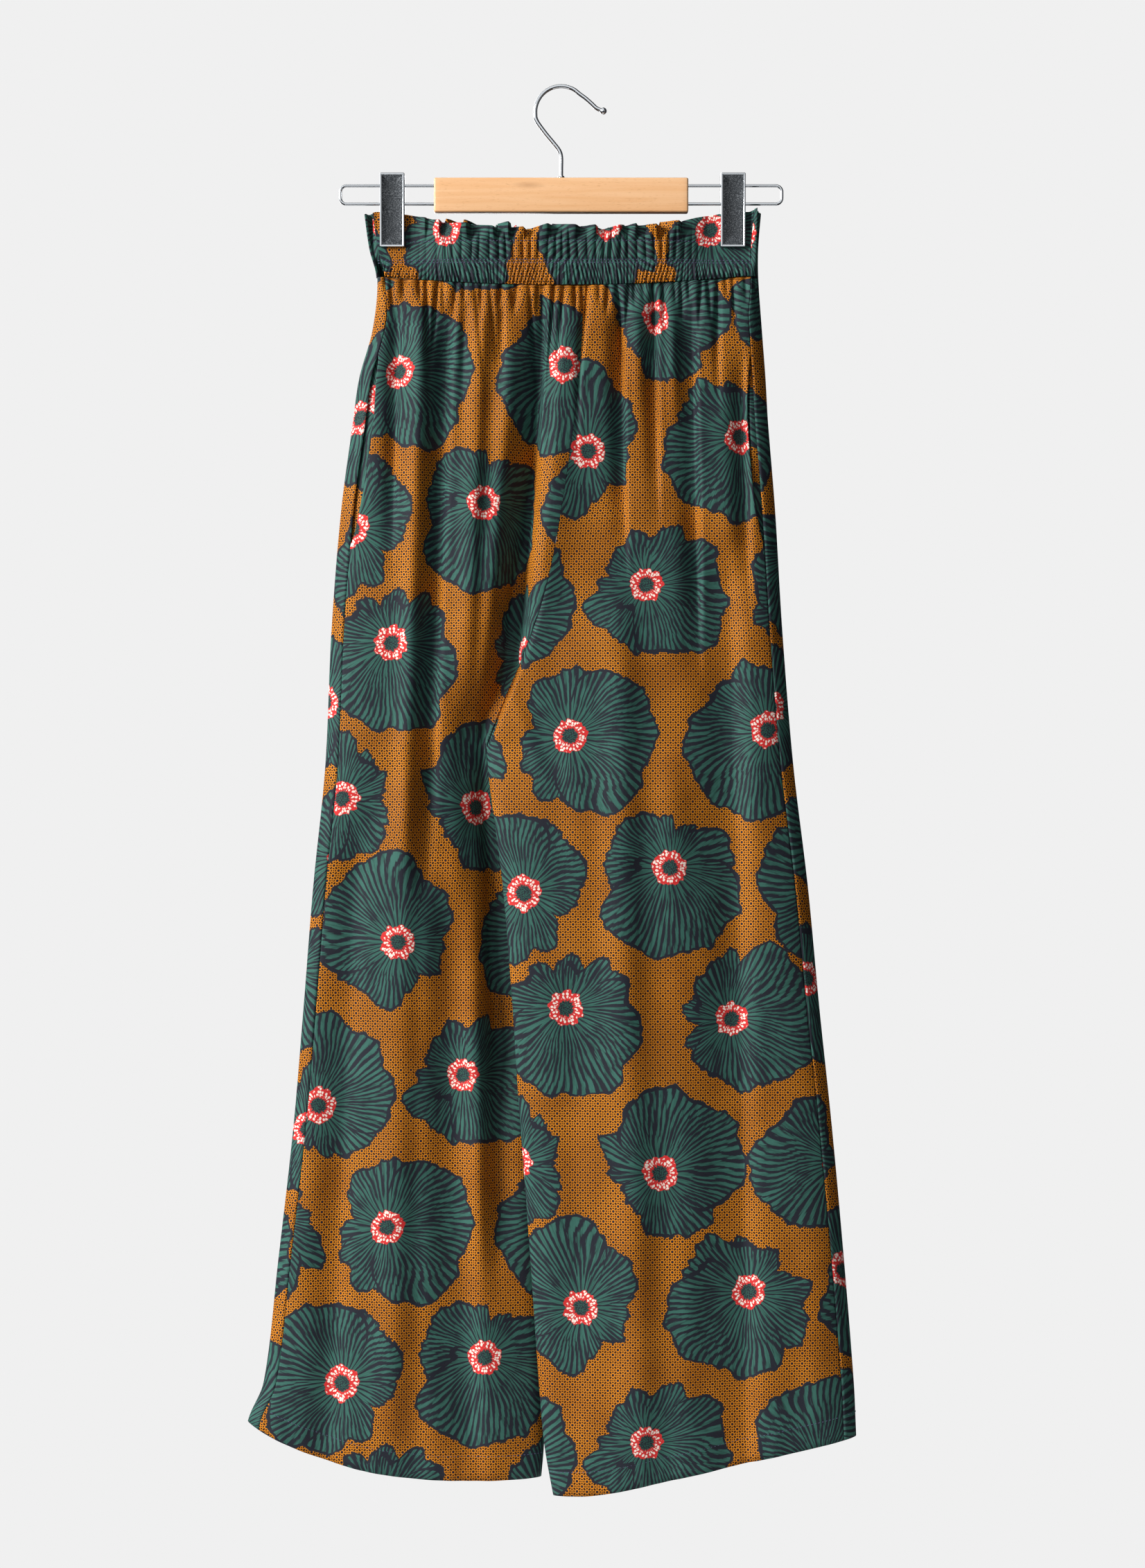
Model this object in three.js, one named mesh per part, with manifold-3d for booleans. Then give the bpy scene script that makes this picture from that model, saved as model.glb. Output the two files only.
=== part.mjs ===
// Wide-leg trousers of printed cloth with a gathered, ruffled waist, hanging flat from a clip hanger.
// Units are millimetres. The origin is under the top of the hook, +Z is up, the front faces -Y
// and the wearer's left is +X.
import * as THREE from "three";
import { mergeVertices } from "three/addons/utils/BufferGeometryUtils.js";
import Module from "manifold-3d";

const wasm = await Module();
wasm.setup();

// Driving sizes of the cloth
const CLOTH = 1.2; // wall thickness
const GAP = 0.3; // between pieces at a seam
const CROTCH_Z = -543;
const CROTCH_SOFTNESS = 130; // height over which front and back part above the crotch
const WAIST_Z = -157; // height of the waist seam at the side seams
const SEAM_INSET = 11; // how far the side seam lies onto the front face

// Outline by height: x of the right and left edges, half depth of the cloth, width of the rounded edge.
const OUTLINE = [
  { z: -96, right: -163, left: 166, depth: 11, edge: 8 },
  { z: -132, right: -158, left: 163, depth: 11, edge: 8 },
  { z: -157, right: -152, left: 163, depth: 11, edge: 8 },
  { z: -200, right: -156, left: 166, depth: 12, edge: 16 },
  { z: -240, right: -167, left: 169, depth: 14, edge: 26 },
  { z: -275, right: -172, left: 171, depth: 15, edge: 34 },
  { z: -350, right: -182, left: 177, depth: 16, edge: 40 },
  { z: -450, right: -190, left: 183, depth: 16, edge: 40 },
  { z: -560, right: -195, left: 192, depth: 15, edge: 40 },
  { z: -660, right: -205, left: 204, depth: 15, edge: 40 },
  { z: -760, right: -213, left: 213.5, depth: 15, edge: 40 },
  { z: -860, right: -221.5, left: 224, depth: 15, edge: 40 },
  { z: -970, right: -234, left: 234, depth: 16, edge: 40 },
  { z: -1070, right: -246, left: 242, depth: 17, edge: 40 },
  { z: -1102, right: -259, left: 243.5, depth: 17, edge: 40 },
  { z: -1165, right: -268, left: 246, depth: 17, edge: 40 },
];

// Centre seams above the crotch: x of the front and back seam, y of the middle, width of the rounding.
const RISE = [
  { z: -157, front: 19, back: 6, middle: 0, edge: 8 },
  { z: -240, front: 15, back: 4, middle: 0, edge: 14 },
  { z: -325, front: 4, back: 0, middle: 0, edge: 26 },
  { z: -385, front: -6, back: -6, middle: 0, edge: 40 },
  { z: -430, front: -17, back: -16, middle: -1, edge: 55 },
  { z: -473, front: -33, back: -31, middle: -2, edge: 66 },
  { z: -510, front: -49, back: -48, middle: -2, edge: 70 },
  { z: -543, front: -62, back: -62, middle: -2, edge: 70 },
];

// Inner edges below the crotch: x and y of each leg's fold. The left leg hangs in front of the right.
const INSEAMS = [
  { z: -543, left: -62, leftY: -2, right: -62, rightY: -2 },
  { z: -557, left: -60.8, leftY: -5, right: -60.8, rightY: 1 },
  { z: -580, left: -58.5, leftY: -9, right: -55.5, rightY: 4.5 },
  { z: -612, left: -54, leftY: -12, right: -44, rightY: 8.5 },
  { z: -660, left: -48, leftY: -13, right: -30, rightY: 10 },
  { z: -745, left: -41, leftY: -13, right: -22, rightY: 10 },
  { z: -830, left: -35.5, leftY: -12, right: -21, rightY: 10 },
  { z: -945, left: -27, leftY: -11, right: -19, rightY: 9 },
  { z: -1060, left: -19, leftY: -10, right: -14, rightY: 8 },
  { z: -1119, left: -14, leftY: -9, right: -14, rightY: 8 },
  { z: -1165, left: -6, leftY: -8, right: -18, rightY: 7 },
];
const LEG_EDGE = 70; // width of the rounding at the inner edges of the legs

// Folds: soft bumps along a line, x at the top and bottom end, half width and rise (a trough is negative).
const FRONT_FOLDS = [
  { name: "centre pleat", top: -162, bottom: -500, xTop: -1, xBottom: -44, width: 9, rise: 6 },
  { name: "centre trough", top: -185, bottom: -700, xTop: -26, xBottom: -96, width: 10, rise: -6 },
  { name: "beside the trough", top: -165, bottom: -520, xTop: -62, xBottom: -76, width: 9, rise: 4 },
  { name: "right dart", top: -165, bottom: -620, xTop: -92, xBottom: -112, width: 8, rise: -4.5 },
  { name: "right pleat", top: -165, bottom: -640, xTop: -114, xBottom: -130, width: 9, rise: 4.5 },
  { name: "right leg fold", top: -560, bottom: -1180, xTop: -128, xBottom: -146, width: 17, rise: 4.5 },
  { name: "right leg hollow", top: -600, bottom: -1180, xTop: -170, xBottom: -196, width: 16, rise: -4 },
  { name: "right inner fold", top: -640, bottom: -1180, xTop: -88, xBottom: -72, width: 15, rise: -3.5 },
  { name: "left first pleat", top: -162, bottom: -330, xTop: 48, xBottom: 50, width: 8, rise: -3.5 },
  { name: "left second pleat", top: -162, bottom: -300, xTop: 74, xBottom: 76, width: 8, rise: -3 },
  { name: "left long trough", top: -160, bottom: -420, xTop: 107, xBottom: 110, width: 9, rise: -4 },
  { name: "left side pleat", top: -230, bottom: -400, xTop: 148, xBottom: 154, width: 9, rise: -4 },
  { name: "left leg hollow", top: -380, bottom: -1180, xTop: 134, xBottom: 150, width: 18, rise: -4.5 },
  { name: "left leg ridge", top: -420, bottom: -1180, xTop: 46, xBottom: 66, width: 20, rise: 4.5 },
  { name: "left leg side", top: -520, bottom: -1180, xTop: 90, xBottom: 106, width: 14, rise: 2.5 },
];
const BACK_FOLDS = [
  { name: "right seat fold", top: -162, bottom: -560, xTop: -60, xBottom: -92, width: 12, rise: 5 },
  { name: "right seat hollow", top: -170, bottom: -620, xTop: -96, xBottom: -120, width: 11, rise: -5 },
  { name: "left seat fold", top: -162, bottom: -540, xTop: 66, xBottom: 84, width: 12, rise: 5 },
  { name: "left seat hollow", top: -175, bottom: -640, xTop: 104, xBottom: 118, width: 11, rise: -5 },
  { name: "centre hollow", top: -200, bottom: -560, xTop: 30, xBottom: 8, width: 13, rise: -4 },
  { name: "right leg fold", top: -600, bottom: -1180, xTop: -138, xBottom: -160, width: 18, rise: 5 },
  { name: "right leg hollow", top: -660, bottom: -1180, xTop: -90, xBottom: -96, width: 17, rise: -4 },
  { name: "left leg fold", top: -580, bottom: -1180, xTop: 72, xBottom: 80, width: 20, rise: 5 },
  { name: "left leg hollow", top: -620, bottom: -1180, xTop: 128, xBottom: 150, width: 18, rise: -5 },
];
const FOLD_FADE = 60; // longest length over which a fold starts or ends

// Rows of the panels by nominal height, and how many columns each row has.
const FINE_ROWS = [-157, -165, -180, -205];
const RISE_ROWS = [-235, -270, -310, -350, -390, -425, -455, -480, -500, -520, -535, -543];
const LEG_ROWS = [-555, -575, -605, -650, -705, -770, -840, -910, -980, -1040, -1090, -1150];
const FINE_COLUMNS = 32;
const COARSE_COLUMNS = 16;
const GATHER_RISE = [1.3, 2.0, 1.5, 0.8]; // of the small gathers under the waistband, by fine row

// Waistband: a casing and a ruffled header in one strip.
const BAND_COLUMNS = 88;
const BAND_ROWS = 5;
const CASING_TOP = 0.52; // share of the band's height that the casing takes
const CASING_WALL = 2.4; // two layers and the elastic between them
const HEADER_WALL = 1.6; // two layers
const BAND_GATHER = 1.25; // swing of the gathers in the casing
const RUFFLE = 3.2; // swing of the ruffle's free edge

// Pocket openings in the side seams: top, bottom, width of the slot and reach of the facing behind it.
const POCKET = { top: -222, bottom: -378, slot: 7, under: 5, reach: 14, depth: 2.6, columns: 4, rows: 8 };

// Clip hanger
const WIRE = 1.3; // radius of the rails
const HOOK_WIRE = 1.7;
const BAR = { half: 105, top: -74.7, bottom: -103.2, depth: 13, corner: 3 };
const RAIL = { upper: -80.7, lower: -95.8, reach: 182.5, corner: 5, rooted: 8 };
const CLIP_X = { left: 142, right: -139.5 };
const CLIP = {
  top: -71,
  bottom: -132,
  width: 20.5,
  topDepth: 9,
  bottomDepth: 5.4,
  bevel: 1.6,
  sheet: 1,
  parting: 2, // y of the flanges, clear of the cloth between them
  lip: 3.2,
};
const PINCH = { half: 1.5, core: 12.5, outer: 22, inner: 70, full: -136 };
const SPRING = { width: 10, leaf: 0.6, foot: -100 };

const clamp = (v, low, high) => Math.min(high, Math.max(low, v));
const mix = (a, b, t) => a + (b - a) * t;
const smooth = (a, b, v) => {
  const t = clamp((v - a) / (b - a), 0, 1);
  return t * t * (3 - 2 * t);
};

// A smooth curve through one column of a table whose rows run downwards in z.
function curveThrough(rows, column) {
  const last = rows.length - 1;
  const slope = (i) => {
    const a = rows[Math.max(i - 1, 0)];
    const b = rows[Math.min(i + 1, last)];
    return (b[column] - a[column]) / (b.z - a.z);
  };
  return (z) => {
    const level = clamp(z, rows[last].z, rows[0].z);
    let i = 0;
    while (i < last - 1 && rows[i + 1].z > level) i += 1;
    const from = rows[i];
    const to = rows[i + 1];
    const step = to.z - from.z;
    const t = (level - from.z) / step;
    const tt = t * t;
    const ttt = tt * t;
    return (
      (2 * ttt - 3 * tt + 1) * from[column] +
      (ttt - 2 * tt + t) * step * slope(i) +
      (3 * tt - 2 * ttt) * to[column] +
      (ttt - tt) * step * slope(i + 1)
    );
  };
}
const OUTER = {
  [-1]: curveThrough(OUTLINE, "right"),
  [1]: curveThrough(OUTLINE, "left"),
};
const halfDepth = curveThrough(OUTLINE, "depth");
const outerEdge = curveThrough(OUTLINE, "edge");
const riseFront = curveThrough(RISE, "front");
const riseBack = curveThrough(RISE, "back");
const riseMiddle = curveThrough(RISE, "middle");
const riseEdge = curveThrough(RISE, "edge");
const INSEAM_X = {
  [-1]: curveThrough(INSEAMS, "right"),
  [1]: curveThrough(INSEAMS, "left"),
};
const INSEAM_Y = {
  [-1]: curveThrough(INSEAMS, "rightY"),
  [1]: curveThrough(INSEAMS, "leftY"),
};

// Heights of the waist seam, the ruffle's edge and the hems along x.
const waistSeam = (x) => WAIST_Z - 7 * (1 - Math.min(1, (x / 150) ** 2));
const ruffleTop = (x) => -101.5 - 15 * (1 - Math.min(1, (x / 140) ** 2)) + 1.6 * Math.sin(x / 5.3 + 2);
const hem = {
  [-1]: (x) => -1150 + 50 * (Math.abs(x + 60) / 202) ** 2.5,
  [1]: (x) => -1162 + 0.11 * (x - 25 + Math.hypot(x - 25, 15)),
};

// Rise of all folds of one face at x, z.
function foldRise(folds, x, z) {
  let total = 0;
  for (const fold of folds) {
    const along = (z - fold.top) / (fold.bottom - fold.top);
    if (along <= 0 || along >= 1) continue;
    const length = fold.top - fold.bottom;
    const fade = Math.min(FOLD_FADE, length / 3);
    const ends = smooth(0, fade, along * length) * smooth(0, fade * 2, (1 - along) * length);
    const across = (x - mix(fold.xTop, fold.xBottom, along)) / fold.width;
    total += fold.rise * ends * Math.exp(-across * across);
  }
  return total;
}

// How far the clips press the waist flat at x, z: 0 loose, 1 pressed.
function pinchAt(x, z) {
  const held = smooth(WAIST_Z, PINCH.full, z);
  let most = 0;
  for (const clipX of Object.values(CLIP_X)) {
    const outward = (x - clipX) * Math.sign(clipX);
    const far = outward > 0 ? PINCH.outer : PINCH.inner;
    most = Math.max(most, 1 - smooth(PINCH.core, far, Math.abs(outward)));
  }
  return held * most;
}

// The section of one leg at height z is a flattened tube. q runs 0 to 1 over the front from the inner
// to the outer edge and 1 to 2 over the back from the outer to the inner edge.
const EDGE_SHARE = 3 / 16; // share of q that each rounded edge takes
function legSection(side, z) {
  const rise = z >= CROTCH_Z;
  const parted = Math.sqrt(clamp((z - CROTCH_Z) / CROTCH_SOFTNESS, 0, 1));
  const outer = OUTER[side](z);
  const outRound = outerEdge(z);
  const inRound = rise ? riseEdge(z) : LEG_EDGE;
  const depth = halfDepth(z);
  const innerY = rise ? riseMiddle(z) : INSEAM_Y[side](z);
  const innerX = (front) => {
    if (!rise) return INSEAM_X[side](z);
    return (front ? riseFront(z) : riseBack(z)) + (side * GAP) / 2;
  };
  const roundness = (d, r) => Math.sqrt(clamp(1 - (1 - Math.min(d / r, 1)) ** 2, 0, 1));
  return (q) => {
    const front = q <= 1;
    const t = front ? q : 2 - q;
    const inner = innerX(front);
    const span = Math.abs(outer - inner);
    const straight = span - inRound - outRound;
    let d = inRound + (straight * (t - EDGE_SHARE)) / (1 - 2 * EDGE_SHARE);
    if (t < EDGE_SHARE) d = inRound * (1 - Math.cos(((t / EDGE_SHARE) * Math.PI) / 2));
    if (t > 1 - EDGE_SHARE) {
      d = span - outRound * (1 - Math.cos((((1 - t) / EDGE_SHARE) * Math.PI) / 2));
    }
    const round = roundness(span - d, outRound) * mix(roundness(d, inRound), 1, parted);
    const x = inner + side * d;
    const face = front ? -1 : 1;
    const rises = foldRise(front ? FRONT_FOLDS : BACK_FOLDS, x, z);
    const pinch = pinchAt(x, z);
    const half = mix(depth + rises, PINCH.half, pinch);
    const middle = innerY * (1 - d / span);
    return new THREE.Vector2(x, middle + face * round * half);
  };
}

// The side seam's place on the front: q where the arc lies inset from the outer edge.
function seamShare(z, inset) {
  const round = outerEdge(z);
  const angle = Math.acos(clamp(1 - inset / round, 0, 1));
  return 1 - (EDGE_SHARE * angle * 2) / Math.PI;
}
// The seam lies less far in where the edge is rounded tightly.
const seamInset = (z) => Math.min(SEAM_INSET, outerEdge(z) * 0.8);
// The pocket's slot is widest halfway down.
function slotWidth(z) {
  const along = clamp((z - POCKET.bottom) / (POCKET.top - POCKET.bottom), 0, 1);
  return POCKET.slot * Math.sin(Math.PI * along) ** 0.6;
}

// Length of the section's arc for a small step of q there.
const ARC_STEP = 0.002;
const arcSpeed = (section, q) => {
  const a = clamp(q, ARC_STEP, 2 - ARC_STEP);
  return section(a + ARC_STEP).distanceTo(section(a - ARC_STEP)) / (2 * ARC_STEP);
};

// A point of the wall: the section's point moved inwards along its normal.
const NORMAL_STEP = 0.002;
function wallPoint(section, side, q, inward) {
  const on = section(q);
  if (inward === 0) return on;
  const before = section(clamp(q - NORMAL_STEP, 0, 2));
  const after = section(clamp(q + NORMAL_STEP, 0, 2));
  const run = after.sub(before).normalize();
  return new THREE.Vector2(on.x - run.y * side * inward, on.y + run.x * side * inward);
}

// A closed wall between two equal grids of points, outer and inner. Rows may halve their columns.
// The faces are turned outwards by the sign of the volume.
function wallGeometry(outer, inner) {
  const points = [];
  const number = (grid) => grid.map((row) => row.map((p) => points.push(p) - 1));
  const sides = [number(outer), number(inner)];
  const faces = [];
  const quad = (a, b, c, d) => faces.push([a, b, c], [a, c, d]);
  sides.forEach((grid, which) => {
    const put = which === 0 ? (a, b, c) => faces.push([a, b, c]) : (a, b, c) => faces.push([a, c, b]);
    for (let r = 0; r + 1 < grid.length; r += 1) {
      const upper = grid[r];
      const lower = grid[r + 1];
      const ratio = (upper.length - 1) / (lower.length - 1);
      for (let c = 0; c + 1 < lower.length; c += 1) {
        const u = c * ratio;
        if (ratio === 1) {
          put(upper[u], lower[c], lower[c + 1]);
          put(upper[u], lower[c + 1], upper[u + 1]);
        } else {
          put(upper[u], lower[c], upper[u + 1]);
          put(upper[u + 1], lower[c], lower[c + 1]);
          put(upper[u + 1], lower[c + 1], upper[u + 2]);
        }
      }
    }
  });
  const [front, back] = sides;
  const last = front.length - 1;
  for (let c = 0; c + 1 < front[0].length; c += 1) {
    quad(front[0][c], front[0][c + 1], back[0][c + 1], back[0][c]);
  }
  for (let c = 0; c + 1 < front[last].length; c += 1) {
    quad(front[last][c + 1], front[last][c], back[last][c], back[last][c + 1]);
  }
  for (let r = 0; r < last; r += 1) {
    const end = front[r].length - 1;
    const nextEnd = front[r + 1].length - 1;
    quad(front[r + 1][0], front[r][0], back[r][0], back[r + 1][0]);
    quad(front[r][end], front[r + 1][nextEnd], back[r + 1][nextEnd], back[r][end]);
  }
  return turnedOut(points, faces);
}

// A geometry of the faces, turned over if its volume is negative.
function turnedOut(points, faces) {
  const volume = faces.reduce((sum, [a, b, c]) => {
    return sum + points[a].dot(new THREE.Vector3().crossVectors(points[b], points[c]));
  }, 0);
  const geometry = new THREE.BufferGeometry().setFromPoints(points);
  geometry.setIndex(faces.flatMap(([a, b, c]) => (volume > 0 ? [a, b, c] : [a, c, b])));
  return geometry;
}

// Stations of q between stops, an even number of columns in each stretch.
function stations(stops, counts) {
  const list = [stops[0]];
  counts.forEach((count, i) => {
    for (let k = 1; k <= count; k += 1) list.push(mix(stops[i], stops[i + 1], k / count));
  });
  return list;
}

// Height of a row at x: rows above the crotch spread between the waist seam and the crotch,
// rows below it between the crotch and the hem.
function rowHeight(side, nominal, x) {
  if (nominal >= CROTCH_Z) {
    const share = (nominal - CROTCH_Z) / (WAIST_Z - CROTCH_Z);
    return mix(CROTCH_Z, waistSeam(x), share);
  }
  const lowest = LEG_ROWS[LEG_ROWS.length - 1];
  return mix(CROTCH_Z, hem[side](x), (CROTCH_Z - nominal) / (CROTCH_Z - lowest));
}

// One leg panel, front or back, from the waist seam to the hem.
function legPanel(side, front) {
  const rows = [...FINE_ROWS, ...RISE_ROWS, ...LEG_ROWS];
  const outer = [];
  const inner = [];
  rows.forEach((nominal, r) => {
    const fine = r < FINE_ROWS.length;
    const columns = fine ? FINE_COLUMNS : COARSE_COLUMNS;
    const gather = fine ? GATHER_RISE[r] : 0;
    const outerRow = [];
    const innerRow = [];
    for (let c = 0; c <= columns; c += 1) {
      let z = nominal;
      let section;
      let q;
      for (let pass = 0; pass < 4; pass += 1) {
        section = legSection(side, z);
        const [from, to] = panelSpan(section, z, front);
        const turn = front ? 0 : columns / 8;
        const stops = front ? [from, to] : [from, 1, to];
        q = stations(stops, front ? [columns] : [turn, columns - turn])[c];
        z = rowHeight(side, nominal, section(q).x);
      }
      section = legSection(side, z);
      const swing = gatherSwing(section, q, c, columns, gather);
      for (const [row, inward] of [[outerRow, 0], [innerRow, CLOTH]]) {
        const p = wallPoint(section, side, q, inward);
        row.push(new THREE.Vector3(p.x, p.y + swing, z));
      }
    }
    outer.push(outerRow);
    inner.push(innerRow);
  });
  return wallGeometry(outer, inner);
}

// The stretch of q that a panel covers at height z, less half a gap at each sewn edge.
function panelSpan(section, z, front) {
  const inset = seamInset(z);
  const edge = seamShare(z, front ? inset + slotWidth(z) : inset);
  const side = edge + ((front ? -1 : 1) * GAP) / 2 / arcSpeed(section, edge);
  const trim = z > CROTCH_Z + 1e-6 ? 0 : GAP / 2 / arcSpeed(section, front ? 0 : 2);
  return front ? [trim, side] : [side, 2 - trim];
}

// Every other column of a gathered row moves out and in, less towards both ends of the row.
function gatherSwing(section, q, column, columns, rise) {
  const ends = Math.min(1, column / 3, (columns - column) / 3);
  const held = 1 - pinchAt(section(q).x, WAIST_Z + 12);
  return (column % 2 ? 1 : -1) * rise * ends * held;
}

// The waist is one loop: u runs 0 to 1 over the front from the right to the left edge
// and 1 to 2 over the back.
const BAND_SHARE = 0.05;
function waistSection(z) {
  const right = OUTER[-1](z);
  const left = OUTER[1](z);
  const span = left - right;
  const round = outerEdge(z);
  const depth = halfDepth(z);
  return (u) => {
    const front = u <= 1;
    const t = front ? u : 2 - u;
    const near = Math.min(t, 1 - t);
    let d = round + ((span / 2 - round) * (near - BAND_SHARE)) / (0.5 - BAND_SHARE);
    if (near < BAND_SHARE) d = round * (1 - Math.cos(((near / BAND_SHARE) * Math.PI) / 2));
    const fullness = Math.sqrt(clamp(1 - (1 - Math.min(d / round, 1)) ** 2, 0, 1));
    const x = t < 0.5 ? right + d : left - d;
    const rises = foldRise(front ? FRONT_FOLDS : BACK_FOLDS, x, z);
    const half = mix(depth + rises, PINCH.half, pinchAt(x, z));
    return new THREE.Vector2(x, (front ? -1 : 1) * fullness * half);
  };
}

// The band swings in y: close gathers in the casing, and an uneven wave along the ruffle's edge.
function bandSwing(x, height, column, front) {
  const loose = smooth(CASING_TOP, 1, height);
  const gather = (column % 2 ? 1 : -1) * BAND_GATHER * (1 - 0.6 * loose);
  const wave = Math.sin(x / 3.1 + 1.7 * Math.sin(x / 21)) + 0.45 * Math.sin(x / 7.3 + (front ? 0 : 2));
  return gather + RUFFLE * loose * wave;
}

// Front or back of the waistband, from the waist seam to the ruffle's edge.
function waistband(front) {
  const outer = [];
  const inner = [];
  for (let r = 0; r <= BAND_ROWS; r += 1) {
    const height = 1 - r / BAND_ROWS;
    const outerRow = [];
    const innerRow = [];
    for (let c = 0; c <= BAND_COLUMNS; c += 1) {
      let z = mix(WAIST_Z, -103, height);
      let u;
      let section;
      for (let pass = 0; pass < 4; pass += 1) {
        section = waistSection(z);
        const [from, to] = bandSpan(section, z, front);
        u = mix(from, to, c / BAND_COLUMNS);
        const x = section(u).x;
        z = mix(waistSeam(x) + GAP, ruffleTop(x), height);
      }
      section = waistSection(z);
      const x = section(u).x;
      const pinch = pinchAt(x, z);
      const ends = Math.min(1, c / 4, (BAND_COLUMNS - c) / 4);
      const swing = (1 - pinch) * ends * bandSwing(x, height, c, front);
      const layers = mix(CASING_WALL, HEADER_WALL, smooth(CASING_TOP - 0.1, CASING_TOP + 0.1, height));
      for (const [row, inward] of [[outerRow, 0], [innerRow, mix(layers, CLOTH, pinch)]]) {
        const p = wallPoint(section, 1, u, inward);
        row.push(new THREE.Vector3(p.x, p.y + swing, z));
      }
    }
    outer.push(outerRow);
    inner.push(innerRow);
  }
  return wallGeometry(outer, inner);
}

// The stretch of u that the front or back of the band covers, less half a gap at each side seam.
function bandSpan(section, z, front) {
  const round = outerEdge(z);
  const angle = Math.acos(clamp(1 - seamInset(z) / round, 0, 1));
  const edge = (BAND_SHARE * angle * 2) / Math.PI;
  const trim = GAP / 2 / arcSpeed(section, edge);
  return front ? [edge + trim, 1 - edge - trim] : [1 - edge + trim, 2 + edge - trim];
}

// A pocket facing behind the slot in the side seam, one wall inside the leg's surface.
function pocketFacing(side) {
  const outer = [];
  const inner = [];
  for (let r = 0; r <= POCKET.rows; r += 1) {
    const z = mix(POCKET.top, POCKET.bottom, r / POCKET.rows);
    const section = legSection(side, z);
    const from = seamShare(z, seamInset(z) + slotWidth(z) + POCKET.reach);
    const to = seamShare(z, seamInset(z) - POCKET.under);
    const outerRow = [];
    const innerRow = [];
    for (let c = 0; c <= POCKET.columns; c += 1) {
      const q = mix(from, to, c / POCKET.columns);
      for (const [row, inward] of [[outerRow, POCKET.depth], [innerRow, POCKET.depth + CLOTH]]) {
        const p = wallPoint(section, side, q, inward);
        row.push(new THREE.Vector3(p.x, p.y, z));
      }
    }
    outer.push(outerRow);
    inner.push(innerRow);
  }
  return wallGeometry(outer, inner);
}

// A solid for joining and cutting, and the geometry of the result.
function solid(geometry) {
  const bare = geometry.index ? geometry.toNonIndexed() : geometry.clone();
  bare.deleteAttribute("normal");
  bare.deleteAttribute("uv");
  const merged = mergeVertices(bare, 1e-4);
  const mesh = new wasm.Mesh({
    numProp: 3,
    vertProperties: new Float32Array(merged.attributes.position.array),
    triVerts: new Uint32Array(merged.index.array),
  });
  return new wasm.Manifold(mesh);
}
function geometryOf(manifold) {
  const { vertProperties, triVerts } = manifold.getMesh();
  const geometry = new THREE.BufferGeometry();
  geometry.setAttribute("position", new THREE.BufferAttribute(new Float32Array(vertProperties), 3));
  geometry.setIndex(new THREE.BufferAttribute(new Uint32Array(triVerts), 1));
  return geometry;
}

// A wire along a curve.
function wireGeometry(curve, radius, steps, facets) {
  const round = new THREE.Shape();
  for (let i = 0; i < facets; i += 1) {
    const angle = (i / facets) * 2 * Math.PI;
    const x = radius * Math.cos(angle);
    const y = radius * Math.sin(angle);
    if (i === 0) round.moveTo(x, y);
    else round.lineTo(x, y);
  }
  round.closePath();
  return new THREE.ExtrudeGeometry(round, { extrudePath: curve, steps, bevelEnabled: false });
}

// The hook's wire: a round crown, an S to the shaft, and a turned-up tip.
const HOOK = { radius: 21.4, from: 200, to: 44, tip: [34.8, -18.8], ball: 2.9 };
const SHAFT_FOOT = -85;
function hookCurve() {
  const points = [];
  const foot = [[0, SHAFT_FOOT], [0, -68], [0, -57], [-1.7, -51.3], [-6.3, -45.3], [-13.1, -37]];
  foot.forEach(([x, z]) => points.push(new THREE.Vector3(x, 0, z)));
  const turns = 9; // steps round the crown
  for (let i = 0; i <= turns; i += 1) {
    const angle = THREE.MathUtils.degToRad(mix(HOOK.from, HOOK.to, i / turns));
    const r = HOOK.radius;
    points.push(new THREE.Vector3(r * Math.cos(angle), 0, r * Math.sin(angle) - r + HOOK_WIRE));
  }
  const end = [[20.5, -6.6], [25.6, -12], [29.6, -16.5], HOOK.tip];
  end.forEach(([x, z]) => points.push(new THREE.Vector3(x, 0, z)));
  return new THREE.CatmullRomCurve3(points, false, "centripetal");
}
function hookGeometry() {
  const ball = new THREE.SphereGeometry(HOOK.ball, 10, 7).translate(HOOK.tip[0], 0, HOOK.tip[1]);
  const wire = solid(wireGeometry(hookCurve(), HOOK_WIRE, 36, 8));
  return geometryOf(wire.add(solid(ball)));
}

// A rail is a U of wire rooted in the end of the bar.
function railCurve(side) {
  const { upper, lower, reach, corner, rooted } = RAIL;
  const start = BAR.half - rooted;
  const bend = reach - corner;
  const path = new THREE.CurvePath();
  const at = (x, z) => new THREE.Vector3(side * x, 0, z);
  const line = (from, to) => path.add(new THREE.LineCurve3(from, to));
  const turn = (from, apex, to) => path.add(new THREE.QuadraticBezierCurve3(from, apex, to));
  line(at(start, upper), at(bend, upper));
  turn(at(bend, upper), at(reach, upper), at(reach, upper - corner));
  line(at(reach, upper - corner), at(reach, lower + corner));
  turn(at(reach, lower + corner), at(reach, lower), at(bend, lower));
  line(at(bend, lower), at(start, lower));
  return path;
}

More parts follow.
